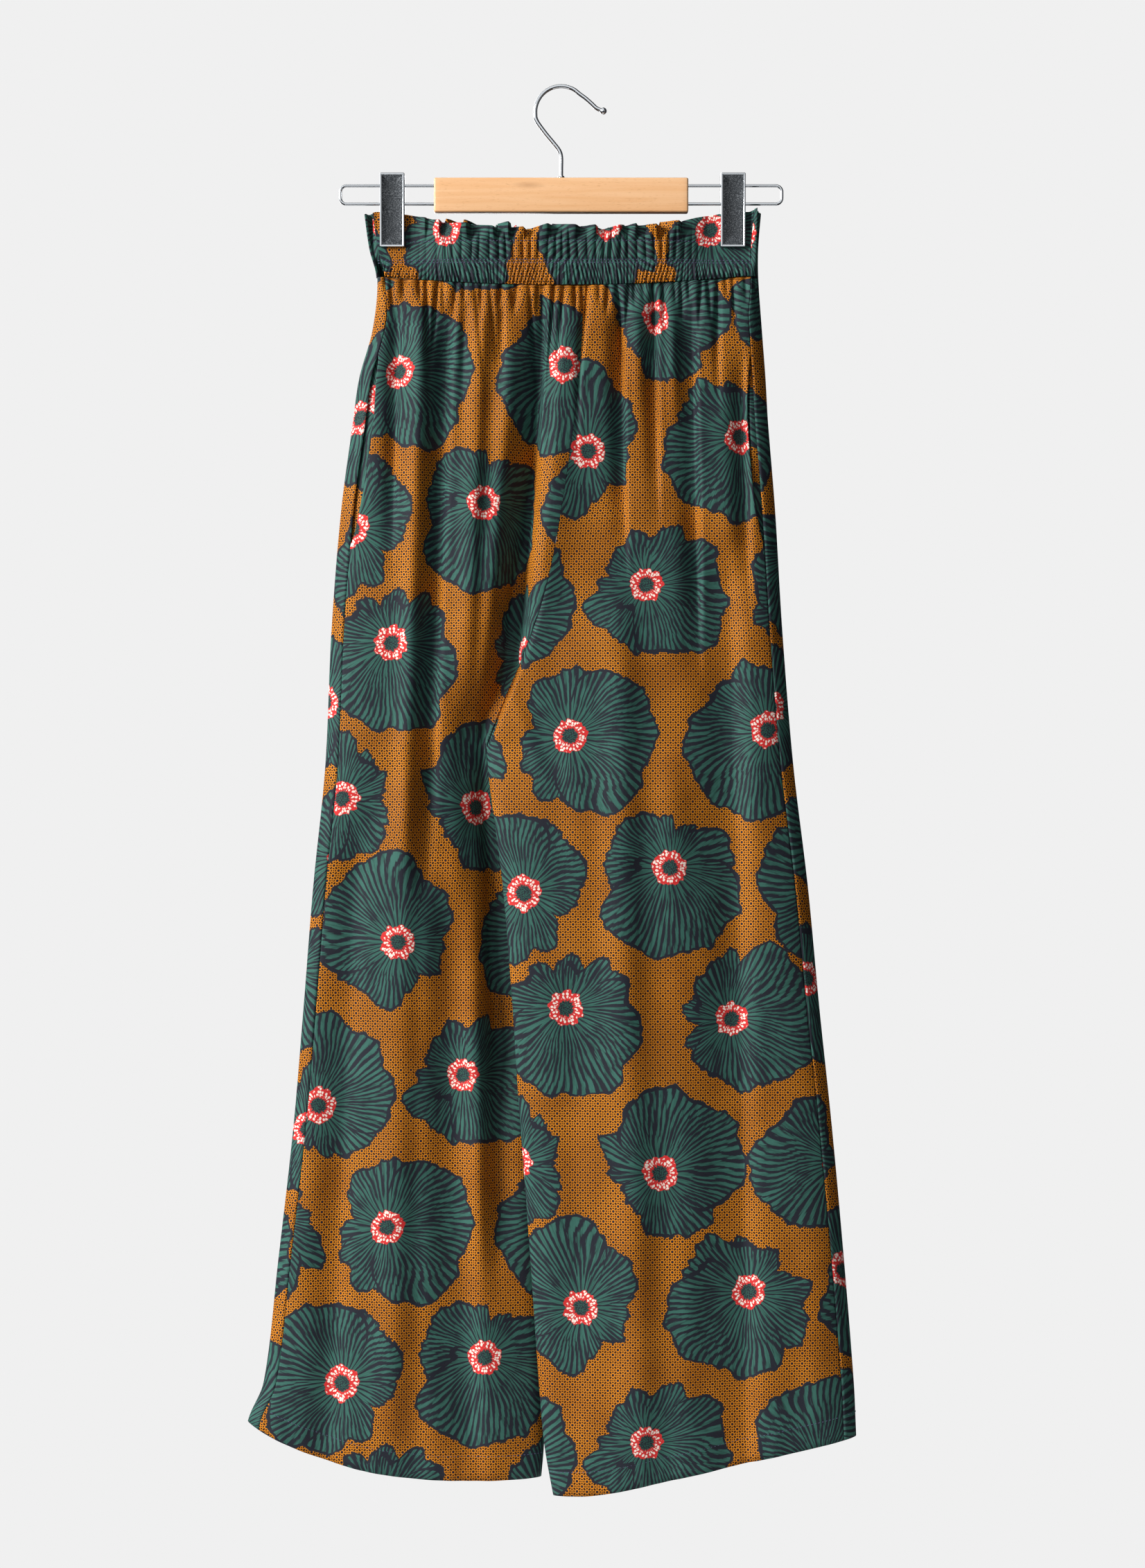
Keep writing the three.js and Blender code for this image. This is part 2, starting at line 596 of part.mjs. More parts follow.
// The wooden bar, with blind holes for the rails and a hole for the hook's shaft.
function barGeometry() {
  const { half, top, bottom, depth, corner } = BAR;
  const face = new THREE.Shape();
  face.moveTo(-half + corner, bottom);
  face.lineTo(half - corner, bottom);
  face.quadraticCurveTo(half, bottom, half, bottom + corner);
  face.lineTo(half, top - corner);
  face.quadraticCurveTo(half, top, half - corner, top);
  face.lineTo(-half + corner, top);
  face.quadraticCurveTo(-half, top, -half, top - corner);
  face.lineTo(-half, bottom + corner);
  face.quadraticCurveTo(-half, bottom, -half + corner, bottom);
  const bevel = 1.5; // of the long edges
  const block = new THREE.ExtrudeGeometry(face, {
    depth: depth - 2 * bevel,
    bevelSize: bevel,
    bevelOffset: -bevel,
    bevelThickness: bevel,
    bevelSegments: 2,
    curveSegments: 3,
  });
  block.rotateX(Math.PI / 2).translate(0, depth / 2 - bevel, 0);
  let bar = solid(block);
  const hole = (radius, length) => new THREE.CylinderGeometry(radius, radius, length, 12);
  for (const side of [-1, 1]) {
    for (const z of [RAIL.upper, RAIL.lower]) {
      const deep = RAIL.rooted + 1;
      const drill = hole(WIRE + GAP, deep * 2).rotateZ(Math.PI / 2);
      bar = bar.subtract(solid(drill.translate(side * half, 0, z)));
    }
  }
  const shaft = hole(HOOK_WIRE + GAP, 2 * (top - SHAFT_FOOT + 1)).rotateX(Math.PI / 2);
  return geometryOf(bar.subtract(solid(shaft.translate(0, 0, top))));
}

// A small collar turned round the hook's foot, with a flange that lies on the bar.
const COLLAR = { flange: 2.9, rim: 0.8, neck: 2.6, height: 1.8 };
function collarGeometry() {
  const bore = HOOK_WIRE + GAP;
  const foot = BAR.top + GAP;
  const profile = [
    [bore, foot],
    [COLLAR.flange, foot],
    [COLLAR.flange, foot + COLLAR.rim],
    [COLLAR.neck, foot + COLLAR.height],
    [bore, foot + COLLAR.height],
    [bore, foot],
  ];
  const points = profile.map(([r, z]) => new THREE.Vector2(r, z));
  return new THREE.LatheGeometry(points, 16).rotateX(Math.PI / 2);
}

// A pressed metal jaw: a bevelled tray, open towards the cloth, deeper at the top.
function jawGeometry(clipX, face) {
  const half = CLIP.width / 2;
  const { top, bottom, bevel, sheet, parting, lip } = CLIP;
  const tray = (inset, upper, lower, proud, back) => {
    const rings = [
      { y: back, grow: 0 },
      { y: parting + 0.35, grow: 0 },
      { y: null, grow: -bevel },
    ];
    return rings.map(({ y, grow }) => {
      const w = half - inset + grow;
      const corner = (x, z, end) => {
        const out = mix(CLIP.bottomDepth, CLIP.topDepth, (z - bottom) / (top - bottom)) - proud;
        return new THREE.Vector3(clipX + x, face * (y === null ? out : mix(y, out - bevel, end)), z);
      };
      const end = y === back ? 0 : 1;
      return [
        corner(-w, lower - grow, end),
        corner(w, lower - grow, end),
        corner(w, upper + grow, end),
        corner(-w, upper + grow, end),
      ];
    });
  };
  const body = solid(loft(tray(0, top, bottom, 0, parting)));
  const hollow = solid(loft(tray(sheet, top + 2, bottom + lip, sheet, parting - 1)));
  return geometryOf(body.subtract(hollow));
}

// A closed solid through rings of equal length.
function loft(rings) {
  const points = rings.flat();
  const n = rings[0].length;
  const faces = [];
  for (let r = 0; r + 1 < rings.length; r += 1) {
    for (let i = 0; i < n; i += 1) {
      const j = (i + 1) % n;
      faces.push([r * n + i, r * n + j, (r + 1) * n + j], [r * n + i, (r + 1) * n + j, (r + 1) * n + i]);
    }
  }
  const top = (rings.length - 1) * n;
  for (let i = 1; i + 1 < n; i += 1) {
    faces.push([0, i + 1, i], [top, top + i, top + i + 1]);
  }
  return turnedOut(points, faces);
}

// A leaf spring bent over the upper rail, between the jaws.
function springGeometry(clipX) {
  const round = WIRE + GAP;
  const reach = CLIP.parting + 1.6;
  const line = [
    [reach, SPRING.foot],
    [round, RAIL.upper - 4],
    [round, RAIL.upper],
    [round * 0.7, RAIL.upper + round * 0.7],
    [0, RAIL.upper + round],
  ];
  const outerLine = line.map(([y, z], i) => {
    const out = i < 3 ? [y + SPRING.leaf, z] : [y * 1.45, RAIL.upper + (z - RAIL.upper) * 1.45];
    return out;
  });
  const mirrored = (list) => list.slice(0, -1).reverse().map(([y, z]) => [-y, z]);
  const profile = [...outerLine, ...mirrored(outerLine), ...[...line, ...mirrored(line)].reverse()];
  const shape = new THREE.Shape(profile.map(([y, z]) => new THREE.Vector2(y, z)));
  const strip = new THREE.ExtrudeGeometry(shape, { depth: SPRING.width, bevelEnabled: false });
  return strip.rotateX(Math.PI / 2).rotateZ(Math.PI / 2).translate(clipX - SPRING.width / 2, 0, 0);
}

const cloth = new THREE.MeshStandardMaterial({ color: 0xb07f3c, roughness: 0.85, metalness: 0 });
const pocketCloth = new THREE.MeshStandardMaterial({ color: 0x3a2c20, roughness: 0.9, metalness: 0 });
const wood = new THREE.MeshStandardMaterial({ color: 0xe0a56c, roughness: 0.5, metalness: 0 });
const chrome = new THREE.MeshStandardMaterial({ color: 0xd8dadd, roughness: 0.15, metalness: 1 });
const satin = new THREE.MeshStandardMaterial({ color: 0xb9bbbd, roughness: 0.4, metalness: 1 });

const trousers = new THREE.Group();
const hanger = new THREE.Group();
function add(group, name, geometry, material) {
  const mesh = new THREE.Mesh(geometry, material);
  mesh.name = name;
  group.add(mesh);
}

const SIDES = { left: 1, right: -1 };
for (const [word, side] of Object.entries(SIDES)) {
  add(trousers, `front_${word}`, legPanel(side, true), cloth);
  add(trousers, `back_${word}`, legPanel(side, false), cloth);
  add(trousers, `pocket_${word}`, pocketFacing(side), pocketCloth);
}
add(trousers, "waistband_front", waistband(true), cloth);
add(trousers, "waistband_back", waistband(false), cloth);

add(hanger, "hanger_bar", barGeometry(), wood);
add(hanger, "hanger_hook", hookGeometry(), chrome);
add(hanger, "hook_collar", collarGeometry(), chrome);
for (const [word, side] of Object.entries(SIDES)) {
  add(hanger, `rail_${word}`, wireGeometry(railCurve(side), WIRE, 30, 8), chrome);
  add(hanger, `clip_${word}_front`, jawGeometry(CLIP_X[word], -1), satin);
  add(hanger, `clip_${word}_back`, jawGeometry(CLIP_X[word], 1), satin);
  add(hanger, `clip_${word}_spring`, springGeometry(CLIP_X[word]), satin);
}

const part = new THREE.Group();
part.add(trousers, hanger);
export default part;
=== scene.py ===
# %% [markdown]
# # Wide-leg trousers on a clip hanger
# The trousers hang flat from a wooden bar hanger. Each sewn piece is a thin shell of cloth worked out
# by formulas: an outline by height, a flattened tube for each leg, and folds added to its depth.
# The same sizes shape the solids, so the shells lie on them. Lengths are in millimetres here and
# become metres when a mesh is made. +Z is up, the front faces -Y and the wearer's left is +X.

# %% The frame that everything is built on
import bpy
import numpy as np
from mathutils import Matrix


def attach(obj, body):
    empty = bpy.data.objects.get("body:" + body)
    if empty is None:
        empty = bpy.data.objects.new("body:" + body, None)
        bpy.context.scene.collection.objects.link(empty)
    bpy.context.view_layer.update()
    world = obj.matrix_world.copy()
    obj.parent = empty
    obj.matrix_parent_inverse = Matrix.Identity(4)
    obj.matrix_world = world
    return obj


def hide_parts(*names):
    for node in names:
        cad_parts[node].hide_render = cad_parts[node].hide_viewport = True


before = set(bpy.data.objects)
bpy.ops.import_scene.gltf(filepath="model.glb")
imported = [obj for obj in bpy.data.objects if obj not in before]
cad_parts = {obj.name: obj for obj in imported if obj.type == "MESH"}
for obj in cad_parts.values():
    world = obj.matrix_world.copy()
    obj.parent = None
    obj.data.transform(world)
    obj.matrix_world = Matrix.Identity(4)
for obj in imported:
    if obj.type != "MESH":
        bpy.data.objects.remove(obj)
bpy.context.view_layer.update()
MM = 0.001
SIDES = {"left": 1, "right": -1}  # the wearer's, with the sign of X there
print("nodes:", len(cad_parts))


# %% [markdown]
# ## Small helpers
# Tables have named columns. A table whose rows run down in z becomes a smooth curve through a column.

# %% Tables, curves and steps
def table(names, rows):
    """Named columns of numbers."""
    return {name: np.array(column, float) for name, column in zip(names.split(), zip(*rows))}


def ease(low, high, value):
    """0 below low, 1 above high, and 3t^2 - 2t^3 between them."""
    t = np.clip((value - low) / (high - low), 0, 1)
    return t * t * (3 - 2 * t)


def curve(rows, name):
    """A cubic through one column, with the slope at a row taken from the rows beside it."""
    z, v = rows["z"][::-1], rows[name][::-1]
    slope = np.empty_like(v)
    slope[1:-1] = (v[2:] - v[:-2]) / (z[2:] - z[:-2])
    slope[0], slope[-1] = (v[1] - v[0]) / (z[1] - z[0]), (v[-1] - v[-2]) / (z[-1] - z[-2])

    def at(level):
        """The curve at these heights, and level past its ends."""
        level = np.clip(level, z[0], z[-1])
        i = np.clip(np.searchsorted(z, level, side="right") - 1, 0, len(z) - 2)
        step = z[i + 1] - z[i]
        t = (level - z[i]) / step
        near = (2 * t**3 - 3 * t**2 + 1) * v[i] + (t**3 - 2 * t**2 + t) * step * slope[i]
        far = (3 * t**2 - 2 * t**3) * v[i + 1] + (t**3 - t**2) * step * slope[i + 1]
        return near + far

    return at


# %% [markdown]
# ## Colours and nodes
# Colours are written as sRGB hex and turned to linear by one function. One more function adds a node
# with its settings and links, by way of the one that fills inputs, which also fills the shader's own.

# %% Colour and node helpers
def linear(colour):
    """sRGB hex to linear: ((c + 0.055) / 1.055)^2.4 above 0.04, c / 12.92 below."""
    c = np.array([int(colour[i:i + 2], 16) for i in (1, 3, 5)]) / 255
    c = np.where(c > 0.04045, ((c + 0.055) / 1.055) ** 2.4, c / 12.92)
    return (*c.tolist(), 1.0)


def feed(tree, node, values):
    """Fills inputs by key: a socket is linked, sRGB hex becomes linear, the rest is set as it is."""
    for key, value in values.items():
        if isinstance(value, bpy.types.NodeSocket):
            tree.links.new(value, node.inputs[key])
        else:
            node.inputs[key].default_value = linear(value) if isinstance(value, str) else value


def add(tree, kind, *values, out=0, **settings):
    """Adds a node with its settings and links, and gives back one of its outputs.

    A kind may name its operation too, as in "Math ADD". Values fill the inputs in order, or by key
    where they come as a dict.
    """
    kind, *operation = kind.split()
    made = tree.nodes.new("ShaderNode" + kind)
    if operation:
        made.operation = operation[0]
    for key, value in settings.items():
        setattr(made, key, value)
    by_key = values and isinstance(values[0], dict)
    feed(tree, made, values[0] if by_key else dict(enumerate(values)))
    return made.outputs[out]


RANGE, MIX, NOISE, ROTATE = "MapRange", "Mix", "TexNoise", "VectorRotate"
JOIN, SPLIT, COORDINATES = "CombineXYZ", "SeparateXYZ", "TexCoord"
COLOUR = {"data_type": "RGBA", "out": 2}  # a Mix node's settings for colours: its sockets 6 and 7
PLACE = {"data_type": "VECTOR", "out": 1}  # and for vectors: its sockets 4 and 5


def new_material(name):
    """An empty material whose principled shader is returned with its tree."""
    made = bpy.data.materials.new(name)
    made.use_nodes = True
    return made, made.node_tree, made.node_tree.nodes["Principled BSDF"]


# %% [markdown]
# ## Camera, light and floor
# The photo looks straight at the garment from about three metres. Its scale is 0.57 mm a pixel, from
# the metal clips, which are about 20 mm wide. Broad light comes from the upper left and a little from
# the front, so surfaces that turn to the right fall into shade. The room itself is near white.

# %% Camera
PHOTO = {"wide": 1652, "tall": 2263, "mm_per_pixel": 0.57}
HOOK_PIXEL = (809.5, 122.0)  # where the underside of the hook's crown lies in the photo
DISTANCE = 3000.0
NEAREST = 16.0  # the cloth's front is this much nearer than the hook
SENSOR = 24.0
view_x = (PHOTO["wide"] / 2 - HOOK_PIXEL[0]) * PHOTO["mm_per_pixel"]
view_z = (HOOK_PIXEL[1] - PHOTO["tall"] / 2) * PHOTO["mm_per_pixel"]
eye = bpy.data.cameras.new("eye")
eye.sensor_fit = "VERTICAL"
eye.sensor_height = SENSOR
eye.lens = SENSOR * (DISTANCE - NEAREST) / (PHOTO["tall"] * PHOTO["mm_per_pixel"])
camera = bpy.data.objects.new("camera", eye)
camera.location = (view_x * MM, -DISTANCE * MM, view_z * MM)
camera.rotation_euler = (np.pi / 2, 0, 0)
bpy.context.collection.objects.link(camera)
bpy.context.scene.camera = camera
print("lens", round(eye.lens, 1), "mm")


# %% Soft light
TARGET = (0, 0, -0.6)  # halfway down the garment, in metres as the lamps' places are


def area_light(name, place, size, power):
    """A square lamp at place, turned to face the garment."""
    lamp = bpy.data.lights.new(name, "AREA")
    lamp.size = size
    lamp.energy = power
    made = bpy.data.objects.new(name, lamp)
    made.location = place
    x, y, z = np.array(place) - np.array(TARGET)
    made.rotation_euler = (np.arctan2(np.hypot(x, y), z), 0, np.arctan2(x, -y))
    bpy.context.collection.objects.link(made)


area_light("key", (-2.7, -1.7, 0.6), 1.2, 158)
area_light("fill", (2.2, -3.0, -0.2), 2.4, 5)
area_light("back", (-1.0, 2.8, 0.4), 2.2, 60)

# %% Room tone: pale where it is seen, brighter to the upper left where it lights the cloth
LIGHT_FROM = (-0.76, -0.12, 0.62)
CARD_FROM = (-0.5, -0.62, 0.6)  # metal mirrors a white card here, and a dark gap beyond its edge
ROOM = {"dark side": "#161616", "light side": "#D2D5D8", "seen": "#F0F0F0",
        "card": "#F4F6F8", "gap": "#3A3B3E"}
sky = bpy.data.worlds.new("pale room")
sky.use_nodes = True
sky_tree = sky.node_tree
toward = add(sky_tree, COORDINATES, out="Generated")
facing = add(sky_tree, "VectorMath DOT_PRODUCT", toward, LIGHT_FROM, out=1)
glow = add(sky_tree, RANGE, facing, -0.35, 0.95)
room = add(sky_tree, MIX, {0: glow, 6: ROOM["dark side"], 7: ROOM["light side"]}, **COLOUR)
seen = add(sky_tree, "LightPath", out="Is Camera Ray")
card = add(sky_tree, "VectorMath DOT_PRODUCT", toward, CARD_FROM, out=1)
on_card = add(sky_tree, RANGE, card, 0.5, 0.66)
mirrored = add(sky_tree, MIX, {0: on_card, 6: ROOM["gap"], 7: ROOM["card"]}, **COLOUR)
shiny = add(sky_tree, "LightPath", out="Is Glossy Ray")
lit = add(sky_tree, MIX, {0: shiny, 6: room, 7: mirrored}, **COLOUR)
tone = add(sky_tree, MIX, {0: seen, 6: lit, 7: ROOM["seen"]}, **COLOUR)
feed(sky_tree, sky_tree.nodes["Background"], {"Color": tone})
bpy.context.scene.world = sky
bpy.context.scene.view_settings.view_transform = "Standard"


# %% [markdown]
# ## The cloth's form
# Hung flat, a leg is a flattened tube: almost straight across, rounded at its edges. The outline, the
# depth and the width of the rounding change with height. Outlines are measured in the photo, and the
# depths are judged.

# %% Outline, centre seams and inseams
CROTCH = -543.0
SOFTNESS = 130.0  # height over which front and back part above the crotch
WAIST = -157.0  # height of the waist seam at the side seams
GAP = 0.3
OUTLINE = table("z right left depth edge", [
    (-96, -163, 166, 11, 8), (-132, -158, 163, 11, 8), (-157, -152, 163, 11, 8),
    (-200, -156, 166, 12, 16), (-240, -167, 169, 14, 26), (-275, -172, 171, 15, 34),
    (-350, -182, 177, 16, 40), (-450, -190, 183, 16, 40), (-560, -195, 192, 15, 40),
    (-660, -205, 204, 15, 40), (-760, -213, 213.5, 15, 40), (-860, -221.5, 224, 15, 40),
    (-970, -234, 234, 16, 40), (-1070, -246, 242, 17, 40), (-1102, -259, 243.5, 17, 40),
    (-1165, -268, 246, 17, 40),
])
RISE = table("z front back middle edge", [
    (-157, 19, 6, 0, 8), (-240, 15, 4, 0, 14), (-325, 4, 0, 0, 26), (-385, -6, -6, 0, 40),
    (-430, -17, -16, -1, 55), (-473, -33, -31, -2, 66), (-510, -49, -48, -2, 70), (-543, -62, -62, -2, 70),
])
INSEAM = table("z left left_y right right_y", [
    (-543, -62, -2, -62, -2), (-557, -60.8, -5, -60.8, 1), (-580, -58.5, -9, -55.5, 4.5),
    (-612, -54, -12, -44, 8.5), (-660, -48, -13, -30, 10), (-745, -41, -13, -22, 10),
    (-830, -35.5, -12, -21, 10), (-945, -27, -11, -19, 9), (-1060, -19, -10, -14, 8),
    (-1119, -14, -9, -14, 8), (-1165, -6, -8, -18, 7),
])
LEG_EDGE = 70.0
outer_x = {-1: curve(OUTLINE, "right"), 1: curve(OUTLINE, "left")}
half_depth, outer_edge = curve(OUTLINE, "depth"), curve(OUTLINE, "edge")
rise_front, rise_back = curve(RISE, "front"), curve(RISE, "back")
rise_middle, rise_edge = curve(RISE, "middle"), curve(RISE, "edge")
inseam_x = {-1: curve(INSEAM, "right"), 1: curve(INSEAM, "left")}
inseam_y = {-1: curve(INSEAM, "right_y"), 1: curve(INSEAM, "left_y")}


RIGHT_HEM = {"low": -1150.0, "lowest_x": -60.0, "rise": 50.0, "width": 202.0}
LEFT_HEM = {"low": -1162.0, "bend_x": 25.0, "bend": 15.0, "slope": 0.11}


def sag(x, deep, half):
    """How far an edge hangs in its middle: a parabola, deep at x = 0 and nothing from half outwards."""
    return deep * (1 - np.minimum(1, (x / half) ** 2))


def waist_seam(x):
    """The waist seam sags 7 mm in the middle and is level from 150 mm out."""
    return WAIST - sag(x, 7, 150)


def hem(side, x):
    """The right hem curves up to its outer corner, and the left one bends to a slope."""
    if side < 0:
        out = np.abs(x - RIGHT_HEM["lowest_x"]) / RIGHT_HEM["width"]
        return RIGHT_HEM["low"] + RIGHT_HEM["rise"] * out ** 2.5
    past = x - LEFT_HEM["bend_x"]
    return LEFT_HEM["low"] + LEFT_HEM["slope"] * (past + np.hypot(past, LEFT_HEM["bend"]))


# %% [markdown]
# ## Folds
# The folds of hanging cloth are soft ridges and troughs along lines. Each row of the table is one of
# them: where it starts and ends, how wide it is on either side, how far it stands out and how its
# line bows. A trough that is narrow on one side reads as a fold laid over its neighbour.

# %% Fold tables
FOLD_NAMES = "top bottom x_top x_bottom left right rise bow"
FRONT_FOLDS = table(FOLD_NAMES, [
    (-160, -500, 5, -30, 9, 16, 4.5, 6),  # the strip of the centre pleat
    (-190, -640, -40, -84, 8, 9, 4.5, 5),  # the lit ridge left of the slope
    (-158, -330, 18, 12, 3, 2, -2.5, 0),
    (-160, -560, -64, -80, 11, 7, 5.5, 0),
    (-160, -680, -92, -112, 12, 4, -8.0, 0),
    (-160, -680, -114, -130, 9, 10, 5.5, 0),
    (-160, -420, -134, -140, 8, 3, -5.5, 0),
    (-158, -300, -78, -82, 4, 5, -4.0, 0),
    (-158, -260, -48, -50, 4, 2.5, -3.2, 0),
    (-560, -1190, -128, -146, 18, 15, 7.0, 4),
    (-600, -1190, -170, -196, 18, 12, -6.5, 0),
    (-640, -1190, -88, -72, 17, 11, -6.0, 0),
    (-640, -1190, -108, -104, 8, 10, 1.6, -4),
    (-158, -420, 48, 54, 10, 2.0, -8.0, 0),
    (-158, -380, 76, 80, 8, 2.4, -6.5, 0),
    (-158, -500, 107, 114, 12, 3, -8.0, 0),
    (-160, -300, 62, 64, 6, 6, 2.6, 0),
    (-160, -300, 91, 94, 5, 5, 2.6, 0),
    (-158, -280, 128, 130, 4, 2.5, -3.4, 0),
    (-200, -460, 148, 155, 10, 4, -6.5, 0),
    (-360, -1190, 134, 150, 22, 11, -7.5, 4),
    (-400, -1190, 46, 66, 20, 16, 7.0, 0),
    (-520, -1190, 90, 106, 14, 14, 2.5, 0),
    (-700, -1190, 6, 14, 16, 14, -3.0, 0),
    (-470, -640, -30, 30, 12, 10, -1.8, -10),  # drag lines that run up from the crotch
    (-480, -600, -44, 4, 7, 6, 1.6, -6),
])
# At the centre seam the right front panel dips under the edge of the left one. These folds shape it.
UNDERLAP = table(FOLD_NAMES, [
    (-158, -660, -12, -66, 10, 1.7, -7.0, 9),  # the sharp trough beside the centre pleat
    (-158, -680, -13, -70, 24, 2.2, -7.5, 9),  # and the slope that falls into it
    (-280, -640, -17, -62, 22, 3.0, -9.0, 5),  # the slope deepens towards the crotch
    (-470, -880, -58, -34, 24, 60, -17.0, -5),  # and the right leg passes behind the left one
    (-370, -660, -36, -58, 8, 14, -9.0, 4),  # a narrow slit of shade follows the left leg's edge
    (-560, -1020, -58, -50, 7, 16, -9.0, 0),
    (-520, -1020, -67, -67, 12, 5, 4.5, 0),  # and a sharp ridge stands beside it
    (-500, -1190, -92, -60, 10, 12, 3.0, 0),
])
BACK_FOLDS = table(FOLD_NAMES, [
    (-162, -560, -60, -92, 12, 12, 5, 0),
    (-170, -620, -96, -120, 11, 7, -5, 0),
    (-162, -540, 66, 84, 12, 12, 5, 0),
    (-175, -640, 104, 118, 8, 11, -5, 0),
    (-200, -560, 30, 8, 13, 10, -4, 6),
    (-162, -330, -30, -34, 4, 6, -4, 0),
    (-162, -300, 130, 134, 4, 6, -3.5, 0),
    (-162, -340, -128, -134, 6, 4, -3.5, 0),
    (-600, -1190, -138, -160, 18, 18, 5, 0),
    (-660, -1190, -90, -96, 17, 17, -4, 0),
    (-580, -1190, 72, 80, 20, 20, 5, 0),
    (-620, -1190, 128, 150, 18, 16, -5, 0),
])
FOLD_FADE = 60.0


def fold_rise(folds, x, z):
    """Sum over the folds of rise times a bell across, e^-(distance/width)^2, faded at both ends."""
    total = np.zeros(np.broadcast(x, z).shape)
    for top, bottom, x_top, x_bottom, left, right, rise, bow in zip(*folds.values()):
        along = (top - z) / (top - bottom)
        length = top - bottom
        fade = min(FOLD_FADE, length / 3)
        inside = np.clip(along, 0, 1)
        ends = ease(0, fade, inside * length) * ease(0, 2 * fade, (1 - inside) * length)
        line = x_top + (x_bottom - x_top) * inside + 4 * bow * inside * (1 - inside)
        across = x - line
        total += rise * ends * np.exp(-((across / np.where(across < 0, left, right)) ** 2))
    return total


# %% Uneven stations, and the forms between them
WAIST_ENDS = (-168.0, 176.0)  # a little past the outline, so that the last ridge isn't cut short


def stations(seed, low, high):
    """Places along the waist that lie between low and high apart, seeded so they never change."""
    start, end = WAIST_ENDS
    dice = np.random.default_rng(seed)
    steps = dice.uniform(low, high, int((end - start) / low) + 2)
    return start + np.concatenate([[0], np.cumsum(steps)])


def stretch(places, x):
    """The number of the stretch that x lies in, and how far along it x is, from 0 to 1."""
    i = np.clip(np.searchsorted(places, x) - 1, 0, len(places) - 2)
    return i, (x - places[i]) / (places[i + 1] - places[i])


def puff(t, power):
    """A round cushion between two sharp valleys: 1 - |2t - 1|^power."""
    return 1 - np.abs(2 * t - 1) ** power


# %% Gathers under the waistband, and small wrinkles
GATHERS = 42
GATHER_ENDS = (-148, 158)
SWELL = 2.4  # the cloth swells this far just under the waist seam
DRAWN_IN = 1.5  # and is drawn in this far at the seam itself
UNGATHERED = 130  # this far below the seam no gather is left


def gather_table(seed):
    """Narrow creases: place, length, width, depth and lean, uneven like hand-fed gathers."""
    dice = np.random.default_rng(seed)
    place = np.linspace(*GATHER_ENDS, GATHERS) + dice.uniform(-2.6, 2.6, GATHERS)
    length = 20 + 95 * dice.random(GATHERS) ** 2.4
    return list(zip(place, length, dice.uniform(1.6, 2.5, GATHERS), dice.uniform(2.0, 5.4, GATHERS),
                    dice.uniform(-0.1, 0.1, GATHERS)))


CREASES = {True: gather_table(4), False: gather_table(9)}


def gather_rise(front, x, z):
    """Sharp creases, depth e^-(distance/width)^1.3, that fade down from the seam, and puffed cloth."""
    below = waist_seam(x) - z
    total = SWELL * ease(0, 9, below) * (1 - ease(16, 90, below)) - DRAWN_IN * (1 - ease(0, 8, below))
    for place, length, width, depth, lean in CREASES[front]:
        line = place + lean * below
        fade = ease(-4, 4, below) * (1 - ease(0.2 * length, length, below))
        total = total - depth * fade * np.exp(-((np.abs(x - line) / width) ** 1.3))
    return np.where(below < UNGATHERED, total, 0)


def wrinkle(x, z):
    """Faint unevenness: a sum of sines of unlike length, mostly along the fall of the cloth."""
    wave = 0.5 * np.sin(x / 11.3 + z / 83 + 1.3 * np.sin(z / 57))
    wave = wave + 0.36 * np.sin(x / 7.1 - z / 49 + 2.1 * np.sin(x / 37 + z / 91))
    wave = wave + 0.3 * np.sin(z / 19 + x / 26 + 1.7 * np.sin(x / 17))
    return wave + 0.14 * np.sin(z / 6.1 - x / 9.3 + 2.3 * np.sin(z / 31))


HEM_DEPTH = 20.0


def hem_rise(side, x, z):
    """The hem's stitched line presses a groove 20 mm up, and the cloth below it puckers a little."""
    up = z - hem(side, x)
    groove = -0.45 * np.exp(-(((up - HEM_DEPTH) / 1.3) ** 2))
    return groove + 0.3 * (1 - ease(14, 26, up)) * np.sin(x / 3.1 + 1.4 * np.sin(x / 13))


# %% Where the clips press the waist flat
CLIP_X = {"left": 142.0, "right": -139.5}
PINCH = {"half": 1.5, "core": 12.5, "outer": 22.0, "inner": 60.0, "full": -136.0}


def pinch_at(x, z):
    """1 between the jaws, fading sideways and down to the waist seam."""
    most = np.zeros(np.broadcast(x, z).shape)
    for place in CLIP_X.values():
        outward = (x - place) * np.sign(place)
        far = np.where(outward > 0, PINCH["outer"], PINCH["inner"])
        most = np.maximum(most, 1 - ease(PINCH["core"], far, np.abs(outward)))
    return ease(WAIST, PINCH["full"], z) * most


# %% [markdown]
# ## A leg as a flattened tube
# Going round a leg, q runs from 0 to 1 over the front, from the inner edge to the outer one, and from
# 1 to 2 over the back. The rounded edges are quarter ellipses, so the tube closes smoothly.

# %% The tube's formula
EDGE_SHARE = 3 / 16
TUCK = 2.2  # the left panel turns in over this width to meet the right one at the centre seam
LEAST_DEPTH = 9.0  # the back stays this far behind the leg's middle
DEEPEST = -6.0  # and a valley of the front reaches this far past it


def roundness(d, radius):
    """Height of a quarter circle of this radius, d in from its edge, as a share of 1."""
    return np.sqrt(np.clip(1 - (1 - np.minimum(d / radius, 1)) ** 2, 0, 1))


